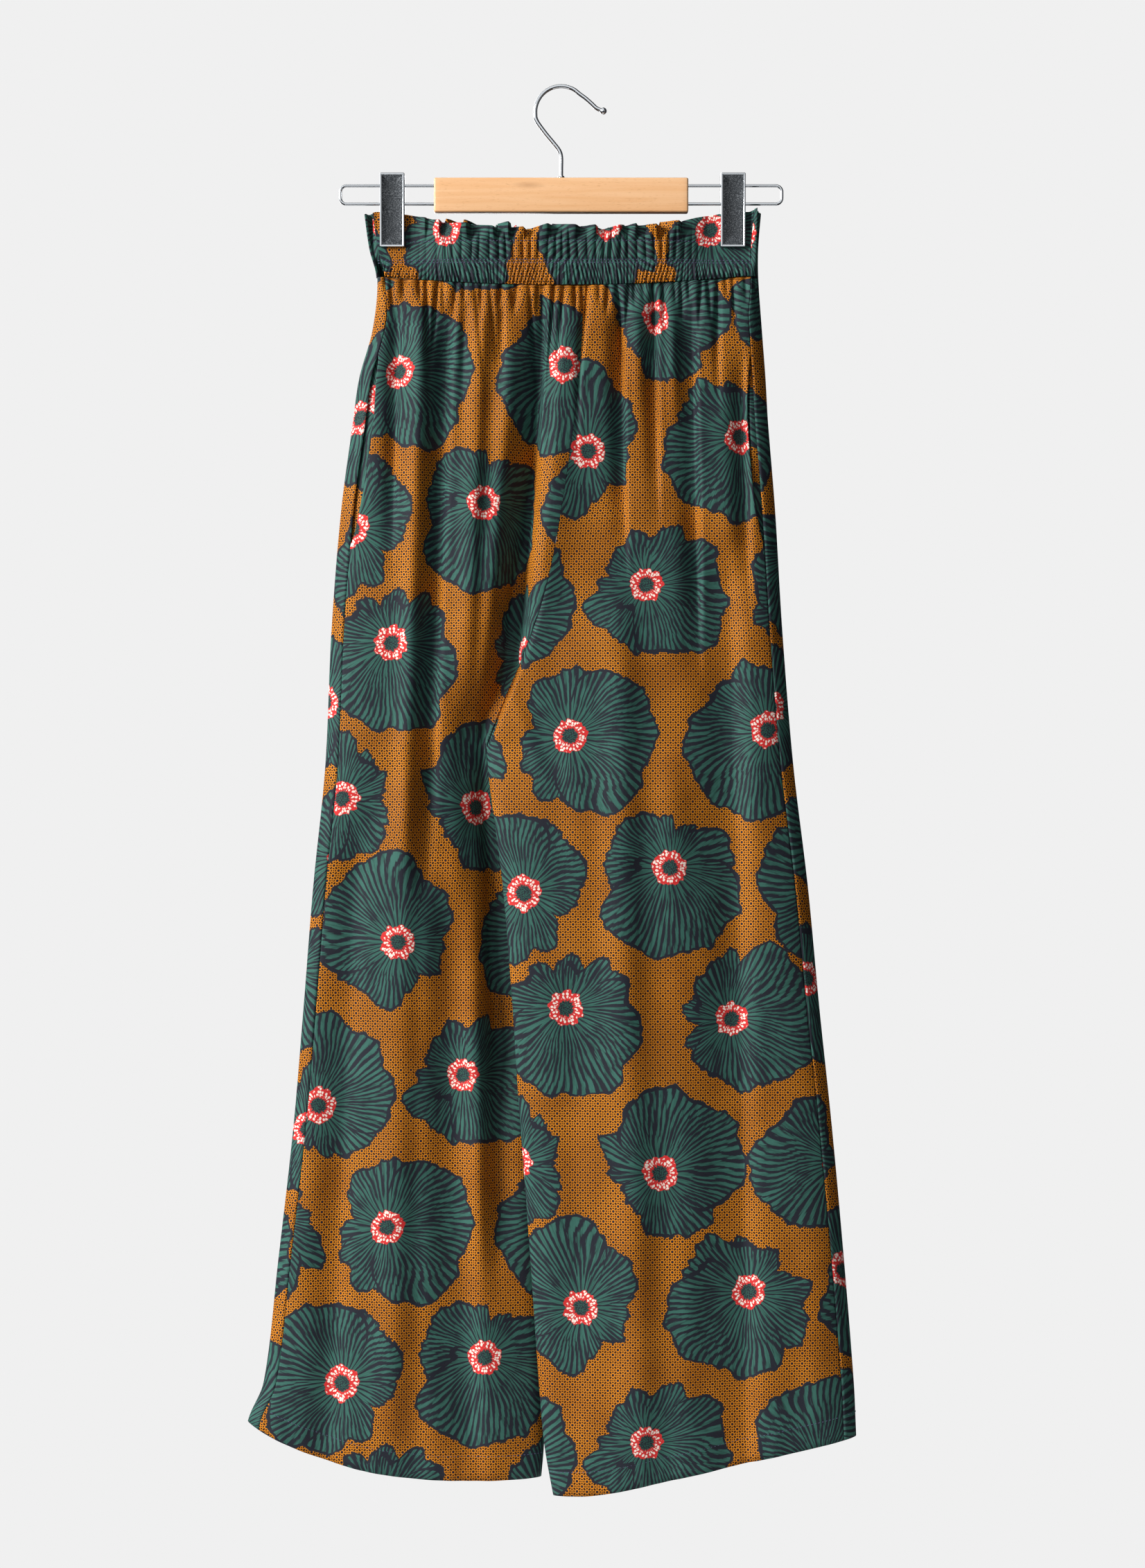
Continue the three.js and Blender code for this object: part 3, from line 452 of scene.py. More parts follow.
def leg_surface(side, q, z):
    """x = inner edge + side * d, y = middle -+ roundness * (half depth + folds), at height z."""
    front = q <= 1
    t = np.where(front, q, 2 - q)
    above = z >= CROTCH
    parted = np.sqrt(np.clip((z - CROTCH) / SOFTNESS, 0, 1))
    centre = np.where(front, rise_front(z), rise_back(z)) + side * GAP / 2
    inner = np.where(above, centre, inseam_x[side](z))
    inner_y = np.where(above, rise_middle(z), inseam_y[side](z))
    in_round = np.where(above, rise_edge(z), LEG_EDGE)
    out_round = outer_edge(z)
    span = np.abs(outer_x[side](z) - inner)
    turn = np.pi / 2 / EDGE_SHARE
    d = in_round + (span - in_round - out_round) * (t - EDGE_SHARE) / (1 - 2 * EDGE_SHARE)
    d = np.where(t < EDGE_SHARE, in_round * (1 - np.cos(t * turn)), d)
    d = np.where(t > 1 - EDGE_SHARE, span - out_round * (1 - np.cos((1 - t) * turn)), d)
    full = roundness(span - d, out_round)
    inner_full = roundness(d, in_round)
    full = full * (inner_full + (1 - inner_full) * parted)
    x = inner + side * d
    joined = 1.0 if side < 0 else above * np.exp(-((d / TUCK) ** 2))
    ahead = fold_rise(FRONT_FOLDS, x, z) + fold_rise(UNDERLAP, x, z) * joined
    folds = np.where(front, ahead, fold_rise(BACK_FOLDS, x, z))
    fine = np.where(front, gather_rise(True, x, z), gather_rise(False, x, z))
    fine = fine + wrinkle(x, z) + hem_rise(side, x, z)
    half = np.maximum(half_depth(z) + folds + fine, np.where(front, DEEPEST, LEAST_DEPTH))
    pinch = pinch_at(x, z)
    half = half + (PINCH["half"] - half) * pinch
    return x, inner_y * (1 - d / span) + np.where(front, -1, 1) * full * half


# %% [markdown]
# ## Panels
# Each leg is cut as a front and a back panel. The side seams lie a little way onto the front, where
# the pocket is left open as a slot. A row of the grid follows the waist seam or the hem.

# %% Panel grids
SEAM_INSET = 11.0
POCKET = {"top": -222.0, "bottom": -378.0, "slot": 7.0, "under": 5.0, "reach": 14.0, "depth": 2.6}
LOWEST = -1150.0
INSEAM_TRIM = 0.0016  # half the gap at the inseam, in q
ROWS = {"front": 244, "back": 220}
COLUMNS = {"front": 184, "back": 110}
ROWS_ABOVE = {"front": 134, "back": 110}  # of these, the rows above the crotch


def seam_inset(z):
    """The side seam lies 11 mm in, less where the edge is rounded tightly."""
    return np.minimum(SEAM_INSET, outer_edge(z) * 0.8)


def seam_share(z, inset):
    """q on the front at this distance from the outer edge."""
    angle = np.arccos(np.clip(1 - inset / outer_edge(z), 0, 1))
    return 1 - EDGE_SHARE * angle * 2 / np.pi


def slot_width(z):
    """The pocket's slot is widest halfway down."""
    along = np.clip((z - POCKET["bottom"]) / (POCKET["top"] - POCKET["bottom"]), 0, 1)
    return POCKET["slot"] * np.sin(np.pi * along) ** 0.6


def row_height(side, nominal, x):
    """Rows above the crotch spread from the waist seam, rows below it spread to the hem."""
    above = CROTCH + (waist_seam(x) - CROTCH) * (nominal - CROTCH) / (WAIST - CROTCH)
    below = CROTCH + (hem(side, x) - CROTCH) * (CROTCH - nominal) / (CROTCH - LOWEST)
    return np.where(nominal >= CROTCH, above, below)


def panel_q(side, front, share, z):
    """q at a share of the panel's width, less half a gap at each seam."""
    edge = seam_share(z, seam_inset(z) + (slot_width(z) if front else 0))
    step = 0.003  # in q, short enough to measure how fast the surface runs here
    at, beside = leg_surface(side, edge, z), leg_surface(side, edge - step, z)
    speed = np.hypot(at[0] - beside[0], at[1] - beside[1]) / step
    trim = np.where(z > CROTCH, 0, INSEAM_TRIM)
    if front:
        start, end = trim, edge - GAP / 2 / speed
    else:
        start, end = edge + GAP / 2 / speed, 2 - trim
    return start + (end - start) * share


def panel_points(side, front, share, nominal):
    """Where the row and column meet, found by four rounds of height from x and x from height."""
    z = nominal + 0 * share
    for _ in range(4):
        q = panel_q(side, front, share, z)
        x, y = leg_surface(side, q, z)
        z = row_height(side, nominal, x)
    x, y = leg_surface(side, q, z)
    return np.stack([x, y, z], axis=-1)


# %% Mesh from a grid
def mesh_object(name, points, faces, uv=None, smooth=True):
    """A mesh object from points in mm, quads or triangles, and a UV for each point in metres."""
    mesh = bpy.data.meshes.new(name)
    mesh.from_pydata((points * MM).tolist(), [], faces.tolist())
    if uv is not None:
        layer = mesh.uv_layers.new(name="cloth")
        loops = np.empty(len(mesh.loops), np.int32)
        mesh.loops.foreach_get("vertex_index", loops)
        layer.data.foreach_set("uv", uv[loops].astype(np.float32).ravel())
    mesh.shade_smooth() if smooth else mesh.shade_flat()
    made = bpy.data.objects.new(name, mesh)
    bpy.context.collection.objects.link(made)
    return made


def grid_faces(rows, columns, closed=False):
    """Quads between neighbouring rows and columns; the last column meets the first if closed."""
    r, c = np.meshgrid(np.arange(rows - 1), np.arange(columns if closed else columns - 1), indexing="ij")
    n = (c + 1) % columns
    quads = [r * columns + c, (r + 1) * columns + c, (r + 1) * columns + n, r * columns + n]
    return np.stack(quads, axis=-1).reshape(-1, 4)


def cloth_uv(grid, x_zero, offset, gathered=False):
    """Flat cloth coordinates: length along the row from x_zero, and height, in metres.

    Gathered cloth was flat before it was drawn up, so all its rows share their mean length.
    """
    step = np.hypot(np.diff(grid[..., 0], axis=1), np.diff(grid[..., 1], axis=1))
    run = np.concatenate([np.zeros((len(grid), 1)), np.cumsum(step, axis=1)], axis=1)
    if gathered:
        run = np.broadcast_to(run.mean(axis=0), run.shape)
    near = np.abs(grid[..., 0] - x_zero).argmin(axis=1)
    rows = np.arange(len(grid))
    way = np.sign(grid[rows, -1, 0] - grid[rows, 0, 0])[:, None]
    u = way * (run - run[rows, near][:, None]) + grid[rows, near, 0][:, None]
    return np.stack([u * MM + offset[0], grid[..., 2] * MM + offset[1]], axis=-1)


# %% Cut pieces of cloth
SHELL = 0.9


def cloth_object(name, grid, uv, turned):
    """A shell of cloth: the grid, given its thickness inwards."""
    faces = grid_faces(*grid.shape[:2])
    faces = faces[:, ::-1] if turned else faces
    made = mesh_object(name, grid.reshape(-1, 3), faces, uv.reshape(-1, 2))
    shell = made.modifiers.new("thickness", "SOLIDIFY")
    shell.thickness = SHELL * MM
    shell.offset = -1
    return made


def cut_piece(name, grid, uv, turned):
    """One cut piece of cloth, which takes the place of its solid, whose part is hidden."""
    piece = cloth_object(f"{name}_cloth", grid, uv, turned)
    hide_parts(name)
    return piece


# %% Leg panels
def nominal_rows(face):
    """Heights before the waist's and the hem's curves, closer together near the waist."""
    above, below = ROWS_ABOVE[face], ROWS[face] - ROWS_ABOVE[face] + 1
    upper = WAIST + (CROTCH - WAIST) * np.linspace(0, 1, above) ** 1.25
    return np.concatenate([upper, np.linspace(CROTCH, LOWEST, below)[1:]])


# Where each piece is cut from the printed cloth, in metres, and the x in mm that it is measured from
PRINT_OFFSET = {"front_left": (0.08, 0.468), "front_right": (0.232, 0.168), "back_left": (0.55, 0.21),
                "back_right": (0.83, 0.44), "waistband_front": (1.02, 0.05),
                "waistband_back": (1.3, 0.4), "pocket": (0.4, 0.9)}
PRINT_ZERO = {"leg": 70, "waistband": 0, "pocket": 150}
outer = []
for word, side in SIDES.items():
    for face in ("front", "back"):
        name = f"{face}_{word}"
        share = np.linspace(0, 1, COLUMNS[face])[None, :]
        grid = panel_points(side, face == "front", share, nominal_rows(face)[:, None])
        uv = cloth_uv(grid, PRINT_ZERO["leg"] * side, PRINT_OFFSET[name])
        outer.append(cut_piece(name, grid, uv, side < 0))


# %% [markdown]
# ## Waistband
# One strip of cloth is folded over and stitched, with elastic in its casing. The free fold above is
# the ruffle. Going round the waist, u runs from 0 to 1 over the front and from 1 to 2 over the back.

# %% Waist formula
BAND_SHARE = 0.05
FIRST_TOP = -103  # the ruffle's top in the first round of heights
STITCH_ROWS = (-127.5, -143.0, -145.4)
BAND = {"rows": 60, "front": 640, "back": 420}
PLEATS = {True: stations(21, 5.0, 8.8), False: stations(22, 5.2, 9.2)}
PUCKERS = {True: stations(23, 2.0, 3.9), False: stations(24, 2.0, 3.9)}
FLOUNCES = {True: stations(25, 9.0, 25), False: stations(26, 8, 22)}
CASING = {"plump": (1.5, 3.1), "pucker": (0.5, 2.1), "puckers_end": (-146, -140)}
RUFFLE = {"top": -102.5, "sag": 14, "half": 140, "lift": (-2.2, 2.4), "slant": (-5, 5),
          "loosens": (-129, -112), "throw": (3.2, 6.8), "turn": 0.84, "gripped": -110.0}
BAND_TRIM = 0.0009  # half the gap at the band's side seams, in u


def ruffle_top(x, front):
    """The ruffle's edge sags in the middle, and each of its pleats ends at a slant of its own."""
    i, t = stretch(FLOUNCES[front], x)
    dice = np.random.default_rng(31 if front else 32)
    lift, slant = dice.uniform(*RUFFLE["lift"], 60)[i], dice.uniform(*RUFFLE["slant"], 60)[i]
    jag = lift + slant * (t - 0.5)
    edge = RUFFLE["top"] - sag(x, RUFFLE["sag"], RUFFLE["half"])
    return edge + jag * (1 - pinch_at(x, RUFFLE["gripped"]))


def band_swing(x, z, front):
    """Rounded ridges with sharp valleys, fine puckers low in the casing, folded pleats in the ruffle."""
    loose = ease(*RUFFLE["loosens"], z)
    low = 1 - ease(*CASING["puckers_end"], z)
    i, t = stretch(PLEATS[front], x + 0.05 * (z + 130) * np.sin(x / 9))
    plump = np.random.default_rng(33).uniform(*CASING["plump"], 90)[i]
    k, small = stretch(PUCKERS[front], x + 0.3 * (z + 150) * np.sin(x / 17))
    pucker = np.random.default_rng(35).uniform(*CASING["pucker"], 240)[k]
    j, wide = stretch(FLOUNCES[front], x)
    throw = np.random.default_rng(34).uniform(*RUFFLE["throw"], 60)[j]
    turn = RUFFLE["turn"]
    turn_back = np.where(wide < turn, 2 * ease(0, turn, wide) - 1, 1 - 2 * ease(turn, 1, wide))
    rows = sum(np.exp(-(((z - row) / 1.4) ** 2)) for row in STITCH_ROWS)
    tuck = np.clip(rows, 0, 1)
    casing = (1 - 0.75 * low) * plump * (puff(t, 2.4) - 0.6) + low * pucker * (puff(small, 2.0) - 0.6)
    seam = 1.6 * np.exp(-(((z - waist_seam(x)) / 3) ** 2))
    return casing * (1 - 0.85 * loose) * (1 - 0.5 * tuck) + throw * loose * turn_back - 0.8 * tuck - seam


def waist_surface(u, z):
    """x runs between the outline's edges, y = -+ roundness * half depth, plus the band's swing.

    Past u = 2 it turns back along the back face and doesn't go on round to the front. That is a fault:
    it leaves the right side seam open, by 19 mm at the waist seam and by 3 mm at the stitches.
    """
    right, left = outer_x[-1](z), outer_x[1](z)
    span, radius = left - right, outer_edge(z)
    front = u <= 1
    t = np.where(front, u, 2 - u)
    near = np.minimum(t, 1 - t)
    d = radius + (span / 2 - radius) * (near - BAND_SHARE) / (0.5 - BAND_SHARE)
    d = np.where(near < BAND_SHARE, radius * (1 - np.cos(near * np.pi / 2 / BAND_SHARE)), d)
    x = np.where(t < 0.5, right + d, left - d)
    pinch = pinch_at(x, z)
    half = half_depth(z) + (PINCH["half"] - half_depth(z)) * pinch
    swing = np.where(front, band_swing(x, z, True), band_swing(x, z, False))
    swing = swing * (1 - pinch) * ease(0, 9, d)
    return x, np.where(front, -1, 1) * (roundness(d, radius) * half + swing)


def band_points(front, share, height):
    """Where a column and a height of the band meet, by rounds of height from x and x from height."""
    z = WAIST + (FIRST_TOP - WAIST) * height + 0 * share
    for _ in range(4):
        inset = np.arccos(np.clip(1 - seam_inset(z) / outer_edge(z), 0, 1)) * 2 / np.pi * BAND_SHARE
        start = (inset if front else 1 - inset) + BAND_TRIM
        end = (1 - inset if front else 2 + inset) - BAND_TRIM
        u = start + (end - start) * share
        x, y = waist_surface(u, z)
        z = waist_seam(x) + GAP + (ruffle_top(x, front) - waist_seam(x) - GAP) * height
    x, y = waist_surface(u, z)
    return np.stack([x, y, z], axis=-1)


# %% Waistband pieces
for face in ("front", "back"):
    name = f"waistband_{face}"
    share = np.linspace(0, 1, BAND[face])[None, :]
    height = np.linspace(1, 0, BAND["rows"])[:, None]
    grid = band_points(face == "front", share, height)
    uv = cloth_uv(grid, PRINT_ZERO["waistband"], PRINT_OFFSET[name], gathered=True)
    outer.append(cut_piece(name, grid, uv, False))


# %% [markdown]
# ## Pocket facings
# A strip of the same cloth lies behind each slot, where the hand goes in.

# %% Pocket facings
def pocket_points(side, share, z):
    """The leg's surface moved inwards along its normal by the facing's depth."""
    first = seam_share(z, seam_inset(z) + slot_width(z) + POCKET["reach"])
    last = seam_share(z, seam_inset(z) - POCKET["under"])
    q = first + (last - first) * share
    x, y = leg_surface(side, q, z)
    step = 0.002
    ahead, behind = leg_surface(side, q + step, z), leg_surface(side, q - step, z)
    run_x, run_y = ahead[0] - behind[0], ahead[1] - behind[1]
    size = np.hypot(run_x, run_y)
    x = x - run_y / size * side * POCKET["depth"]
    y = y + run_x / size * side * POCKET["depth"]
    return np.stack([x, y, z + 0 * x], axis=-1)


pockets = []
for word, side in SIDES.items():
    z = np.linspace(POCKET["top"], POCKET["bottom"], 60)[:, None]
    grid = pocket_points(side, np.linspace(0, 1, 18)[None, :], z)
    uv = cloth_uv(grid, PRINT_ZERO["pocket"] * side, PRINT_OFFSET["pocket"])
    pockets.append(cut_piece(f"pocket_{word}", grid, uv, side < 0))


# %% [markdown]
# ## Stitches
# Rows of thread hold the hem and the elastic's casing. A stitch is a short thread that dips into the
# cloth at both ends, so each is a small spindle laid along the row, made in one array for all rows.

# %% Stitch rows
STITCH = {"pitch": 3.1, "long": 2.3, "wide": 0.6, "proud": 0.3}
STITCH_LIFT = np.array([-0.5, 0.6, 1.0, 0.6, -0.5])
STITCH_SWELL = np.array([0.0, 0.9, 1.0, 0.9, 0.0])
STITCH_RINGS, STITCH_FACETS = len(STITCH_LIFT), 6


def outward(line, way):
    """The tangent of a row seen from above, turned by a right angle to face out of the cloth."""
    run = np.gradient(line, axis=0)
    normal = way * np.stack([run[:, 1], -run[:, 0], 0 * run[:, 0]], axis=-1)
    return normal / np.linalg.norm(normal, axis=1, keepdims=True)


def stitches(line, way):
    """Rings (stitch, place along it, angle) of spindles spaced by the pitch along a line."""
    walked = np.concatenate([[0], np.cumsum(np.linalg.norm(np.diff(line, axis=0), axis=1))])
    normal = outward(line, way)
    middle = np.arange(STITCH["pitch"], walked[-1] - STITCH["pitch"], STITCH["pitch"])
    at = middle[:, None] + STITCH["long"] * np.linspace(-0.5, 0.5, STITCH_RINGS)
    centre = np.stack([np.interp(at, walked, line[:, k]) for k in range(3)], axis=-1)
    up = np.stack([np.interp(at, walked, normal[:, k]) for k in range(3)], axis=-1)
    centre = centre + STITCH["proud"] * STITCH_LIFT[:, None] * up
    angle = np.linspace(0, 2 * np.pi, STITCH_FACETS, endpoint=False)[:, None]
    radius = STITCH["wide"] / 2 * STITCH_SWELL[:, None, None]
    rings = np.cos(angle) * np.array([0, 0, 1.0]) + np.sin(angle) * up[:, :, None, :]
    return centre[:, :, None, :] + radius * rings


def stitch_object(name, lines):
    """All rows of one piece as one mesh."""
    rings = np.concatenate([stitches(line, way) for line, way in lines])
    one = grid_faces(STITCH_RINGS, STITCH_FACETS, closed=True)
    first = STITCH_RINGS * STITCH_FACETS * np.arange(len(rings))[:, None, None]
    faces = (one + first).reshape(-1, 4)
    print(name, len(rings), "stitches")
    return mesh_object(name, rings.reshape(-1, 3), faces[:, ::-1])


def hem_line(side, front):
    """Points 20 mm above the hem, by rounds of height from x and x from height."""
    share = np.linspace(0.01, 0.99, 500)[None, :]
    z = LOWEST + 0 * share
    for _ in range(4):
        x, y = leg_surface(side, panel_q(side, front, share, z), z)
        z = hem(side, x) + HEM_DEPTH
    return np.stack([x, y, z], axis=-1)[0]


def casing_line(front, z):
    """Points along the band at one height."""
    u = (0.0 if front else 1.0) + np.linspace(0.02, 0.98, 900)
    x, y = waist_surface(u, z + 0 * u)
    return np.stack([x, y, z + 0 * x], axis=-1)


hem_rows = [(hem_line(side, front), side) for side in (-1, 1) for front in (True, False)]
casing_rows = [(casing_line(front, z), 1) for z in STITCH_ROWS for front in (True, False)]
sewn = [stitch_object("hem_stitches", hem_rows), stitch_object("casing_stitches", casing_rows)]


# %% [markdown]
# ## Metal and wood
# The wire is bright chrome plate. The clips have a plate of dark satin nickel and polished rims. The
# bar is beech with a satin varnish: fine grain along X, short darker flecks and one smudge.

# %% Metal and wood materials
def metal_material(name, colour, speck, rough, mottled):
    """Plated steel: a bright metal, specked and unevenly rough at half a millimetre where it is satin."""
    made, tree, shader = new_material(name)
    where = add(tree, COORDINATES, out="Object")
    noise = add(tree, NOISE, {"Vector": where, "Scale": 1400.0, "Detail": 3.0})
    specked = add(tree, MIX, {0: add(tree, RANGE, noise, 0.48, 0.66), 6: colour, 7: speck}, **COLOUR)
    spread = add(tree, RANGE, noise, 0.35, 0.65, rough - mottled, rough + mottled)
    bump = add(tree, "Bump", {"Height": noise, "Strength": 2 * mottled, "Distance": 0.0001})
    feed(tree, shader, {"Metallic": 1.0, "Base Color": specked, "Roughness": spread, "Normal": bump})
    return made


# Chrome mirrors the card and the gap as crisp bright and dark lines. Nickel blurs them to a grey bloom.
chrome = metal_material("chrome plated wire", "#DCDFE2", "#E2E5E8", 0.08, 0.02)
nickel = metal_material("satin nickel plated sheet", "#45484B", "#7C7F82", 0.34, 0.12)
WOOD = {"pale": "#F6C391", "grain": "#EEB47D", "fleck": "#C98A52", "knot": "#A76C3C"}
KNOT = {"place": (-0.027, -0.0065, -0.081), "shape": (70.0, 60.0, 300.0)}  # a smudge 20 mm by 5 mm


def beech_material(name):
    """Varnished beech: long fine grain along X, with short flecks a few millimetres long."""
    made, tree, shader = new_material(name)
    where = add(tree, COORDINATES, out="Object")
    long = add(tree, "Mapping", {"Vector": where, "Scale": (12, 260, 260)})
    grain = add(tree, NOISE, {"Vector": long, "Scale": 1.0, "Detail": 4.0, "Distortion": 0.6})
    short = add(tree, "Mapping", {"Vector": where, "Scale": (240, 1500, 1500)})
    fleck = add(tree, NOISE, {"Vector": short, "Scale": 1.0, "Detail": 2.0})
    share = add(tree, RANGE, grain, 0.3, 0.7)
    base = add(tree, MIX, {0: share, 6: WOOD["pale"], 7: WOOD["grain"]}, **COLOUR)
    mark = add(tree, RANGE, fleck, 0.6, 0.7, 0.0, 0.3)
    flecked = add(tree, MIX, {0: mark, 6: base, 7: WOOD["fleck"]}, **COLOUR)
    away = add(tree, "VectorMath SUBTRACT", where, KNOT["place"])
    shaped = add(tree, "VectorMath MULTIPLY", away, KNOT["shape"])
    far = add(tree, "VectorMath LENGTH", shaped, out=1)
    knot = add(tree, RANGE, add(tree, "Math ADD", far, grain), 1.5, 0.5, 0.0, 0.42)
    full = add(tree, MIX, {0: knot, 6: flecked, 7: WOOD["knot"]}, **COLOUR)
    bump = add(tree, "Bump", {"Height": grain, "Strength": 0.15, "Distance": 0.0003})
    feed(tree, shader, {"Base Color": full, "Roughness": 0.42, "Coat Weight": 0.2, "Normal": bump})
    return made


# Satin, so the bar has one soft highlight and its grain stays in sight.
beech = beech_material("varnished beech")


# %% [markdown]
# ## Wire, wood and clips
# The hook and rails are bent wire, a circle carried along a path. The bar is a rounded plank.
# A clip jaw is a pressed tray of sheet metal with bevelled rims.

# %% Wire along a path
def wire_object(name, path, radius, facets=16):
    """A circle carried along a path in the XZ plane: p + r (cos a Y + sin a N), with domed ends."""
    path = np.asarray(path, float)
    tangent = np.gradient(path, axis=0)
    tangent /= np.linalg.norm(tangent, axis=1, keepdims=True)
    dome = np.linspace(0, np.pi / 2, 5)[1:]
    swell, lift = np.cos(dome), np.sin(dome)
    first = path[0] - tangent[0] * radius * lift[::-1, None]
    last = path[-1] + tangent[-1] * radius * lift[:, None]
    centre = np.concatenate([first, path, last])
    along = np.concatenate([np.repeat(tangent[:1], len(dome), 0), tangent,
                            np.repeat(tangent[-1:], len(dome), 0)])
    size = np.concatenate([swell[::-1], np.ones(len(path)), swell])[:, None, None] * radius
    angle = np.linspace(0, 2 * np.pi, facets, endpoint=False)[None, :, None]
    across = np.array([0.0, 1.0, 0.0])
    normal = np.cross(along, across)[:, None, :]
    points = centre[:, None, :] + size * (np.cos(angle) * across + np.sin(angle) * normal)
    return mesh_object(name, points.reshape(-1, 3), grid_faces(*points.shape[:2], closed=True))


def smooth_path(points, count):
    """A Catmull-Rom curve through (x, z) points, with the same number of steps between each two."""
    points = np.array(points, float)
    p = np.concatenate([[2 * points[0] - points[1]], points, [2 * points[-1] - points[-2]]])
    t = np.linspace(0, 1, count, endpoint=False)[None, :, None]
    a, b, c, d = (p[k:len(p) - 3 + k, None, :] for k in range(4))
    squared, cubed = 2 * a - 5 * b + 4 * c - d, 3 * b - a - 3 * c + d
    line = 0.5 * (2 * b + (c - a) * t + squared * t**2 + cubed * t**3)
    line = np.concatenate([line.reshape(-1, 2), p[-2:-1]])
    return np.stack([line[:, 0], 0 * line[:, 0], line[:, 1]], axis=-1)


HOOK_WIRE = 1.7
HOOK = {"radius": 21.4, "start": 200.0, "end": 44.0, "tip": (34.8, -18.8), "ball": 2.9}
angles = np.radians(np.linspace(HOOK["start"], HOOK["end"], 10))
crown = list(zip(HOOK["radius"] * np.cos(angles), HOOK["radius"] * (np.sin(angles) - 1) + HOOK_WIRE))
hook_line = [(0, -85), (0, -68), (0, -57), (-1.7, -51.3), (-6.3, -45.3), (-13.1, -37), *crown,
             (20.5, -8.6), (25.4, -12.9), (29.6, -16.7), HOOK["tip"]]
hook = wire_object("hook_wire", smooth_path(hook_line, 8), HOOK_WIRE)
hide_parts("hanger_hook")


# %% The hook's ball tip, and the collar at its foot
def turned_object(name, profile, place, facets=32):
    """A profile of (radius, height) turned about an upright axis through place."""
    profile = np.asarray(profile, float)
    angle = np.linspace(0, 2 * np.pi, facets, endpoint=False)
    ring = np.stack([np.cos(angle), np.sin(angle), 0 * angle], axis=-1)
    points = profile[:, None, 0, None] * ring + profile[:, None, 1, None] * np.array([0, 0, 1.0])
    faces = grid_faces(len(profile), facets, closed=True)
    return mesh_object(name, points.reshape(-1, 3) + np.asarray(place, float), faces)


turn = np.linspace(0, np.pi, 14)
round_profile = np.stack([HOOK["ball"] * np.sin(turn), HOOK["ball"] * np.cos(turn)], axis=-1)
ball = turned_object("hook_ball", round_profile, (HOOK["tip"][0], 0, HOOK["tip"][1]))
BAR = {"half": 105.0, "top": -74.7, "bottom": -103.2, "deep": 13.0, "corner": 1.6}
COLLAR = [(0, 1.8), (2.3, 1.8), (2.55, 1.65), (2.6, 1.3), (2.65, 0.95), (2.9, 0.75), (2.9, 0.15),
          (2.75, 0), (0, 0)]
collar = turned_object("collar", COLLAR, (0, 0, BAR["top"] + GAP))
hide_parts("hook_collar")

# %% Rails
RAIL = {"upper": -80.7, "lower": -95.8, "reach": 182.5, "corner": 5.0, "root": 100.0, "wire": 1.3}


def rail_path(side):
    """Straight out, a quarter circle, down, a quarter circle and straight back."""
    r = RAIL["corner"]
    a = np.linspace(0, np.pi / 2, 10)
    bend, edge = RAIL["reach"] - r, RAIL["reach"]
    x = np.concatenate([np.linspace(RAIL["root"], bend, 24), bend + r * np.sin(a)[1:],
                        [edge, edge], bend + r * np.cos(a)[1:], np.linspace(bend, RAIL["root"], 24)[1:]])
    z = np.concatenate([np.full(24, RAIL["upper"]), RAIL["upper"] - r + r * np.cos(a)[1:],
                        [RAIL["upper"] - r - 1.2, RAIL["lower"] + r + 1.2],
                        RAIL["lower"] + r - r * np.sin(a)[1:], np.full(23, RAIL["lower"])])
    return np.stack([side * x, 0 * x, z], axis=-1)


rails = []
for word, side in SIDES.items():
    path = rail_path(side)
    rails.append(wire_object(f"rail_{word}_wire", path if side > 0 else path[::-1], RAIL["wire"]))
    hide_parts(f"rail_{word}")


# %% Wooden bar
def rounded_rings(half_a, half_b, inset, corner, facets=32):
    """Rings of a rounded rectangle, each drawn in by its inset: sign(cos t) (half - inset - r) + r cos t."""
    t = (np.arange(facets) + 0.5) * 2 * np.pi / facets
    r = np.clip(corner, 0, None)
    a = np.sign(np.cos(t)) * np.clip(half_a - inset - r, 0, None) + r * np.cos(t)
    b = np.sign(np.sin(t)) * np.clip(half_b - inset - r, 0, None) + r * np.sin(t)
    return a, b


def plank_object(name):
    """A rounded rectangle in YZ carried along X; its rounded ends close to a line on flat caps."""
    r, half, deep = BAR["corner"], BAR["half"], BAR["deep"] / 2
    tall, middle = (BAR["top"] - BAR["bottom"]) / 2, (BAR["top"] + BAR["bottom"]) / 2
    a = np.linspace(0, np.pi / 2, 6)
    start = -half + r * (1 - np.cos(a))
    between = np.linspace(-half + r, half - r, 60)[1:-1]
    x = np.concatenate([[-half], start, between, -start[::-1], [half]])
    end = r * (1 - np.sin(a))
    inset = np.concatenate([[deep], end, np.zeros(len(between)), end[::-1], [deep]])[:, None]
    y, z = rounded_rings(deep, tall, inset, r - inset)
    points = np.stack([x[:, None] + 0 * y, y, middle + z], axis=-1)
    return mesh_object(name, points.reshape(-1, 3), grid_faces(*y.shape, closed=True))


bar = plank_object("bar_wood")
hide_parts("hanger_bar")

# %% Clip jaws
CLIP = {"top": -71.0, "bottom": -132.0, "width": 20.5, "top_deep": 9.0, "bottom_deep": 5.4,
        "parting": 2.0, "corner": 0.9}
JAW_RINGS = table("inset proud", [
    (10.25, 0.0), (0.0, 0.0), (0.0, 0.80), (0.15, 0.93), (0.55, 1.0), (1.25, 1.0), (1.5, 0.95), (1.75, 0.93),
    (10.25, 0.93),
])
PLATE_RING = 7  # from this ring inwards the face is the pressed plate, outside it the polished rim


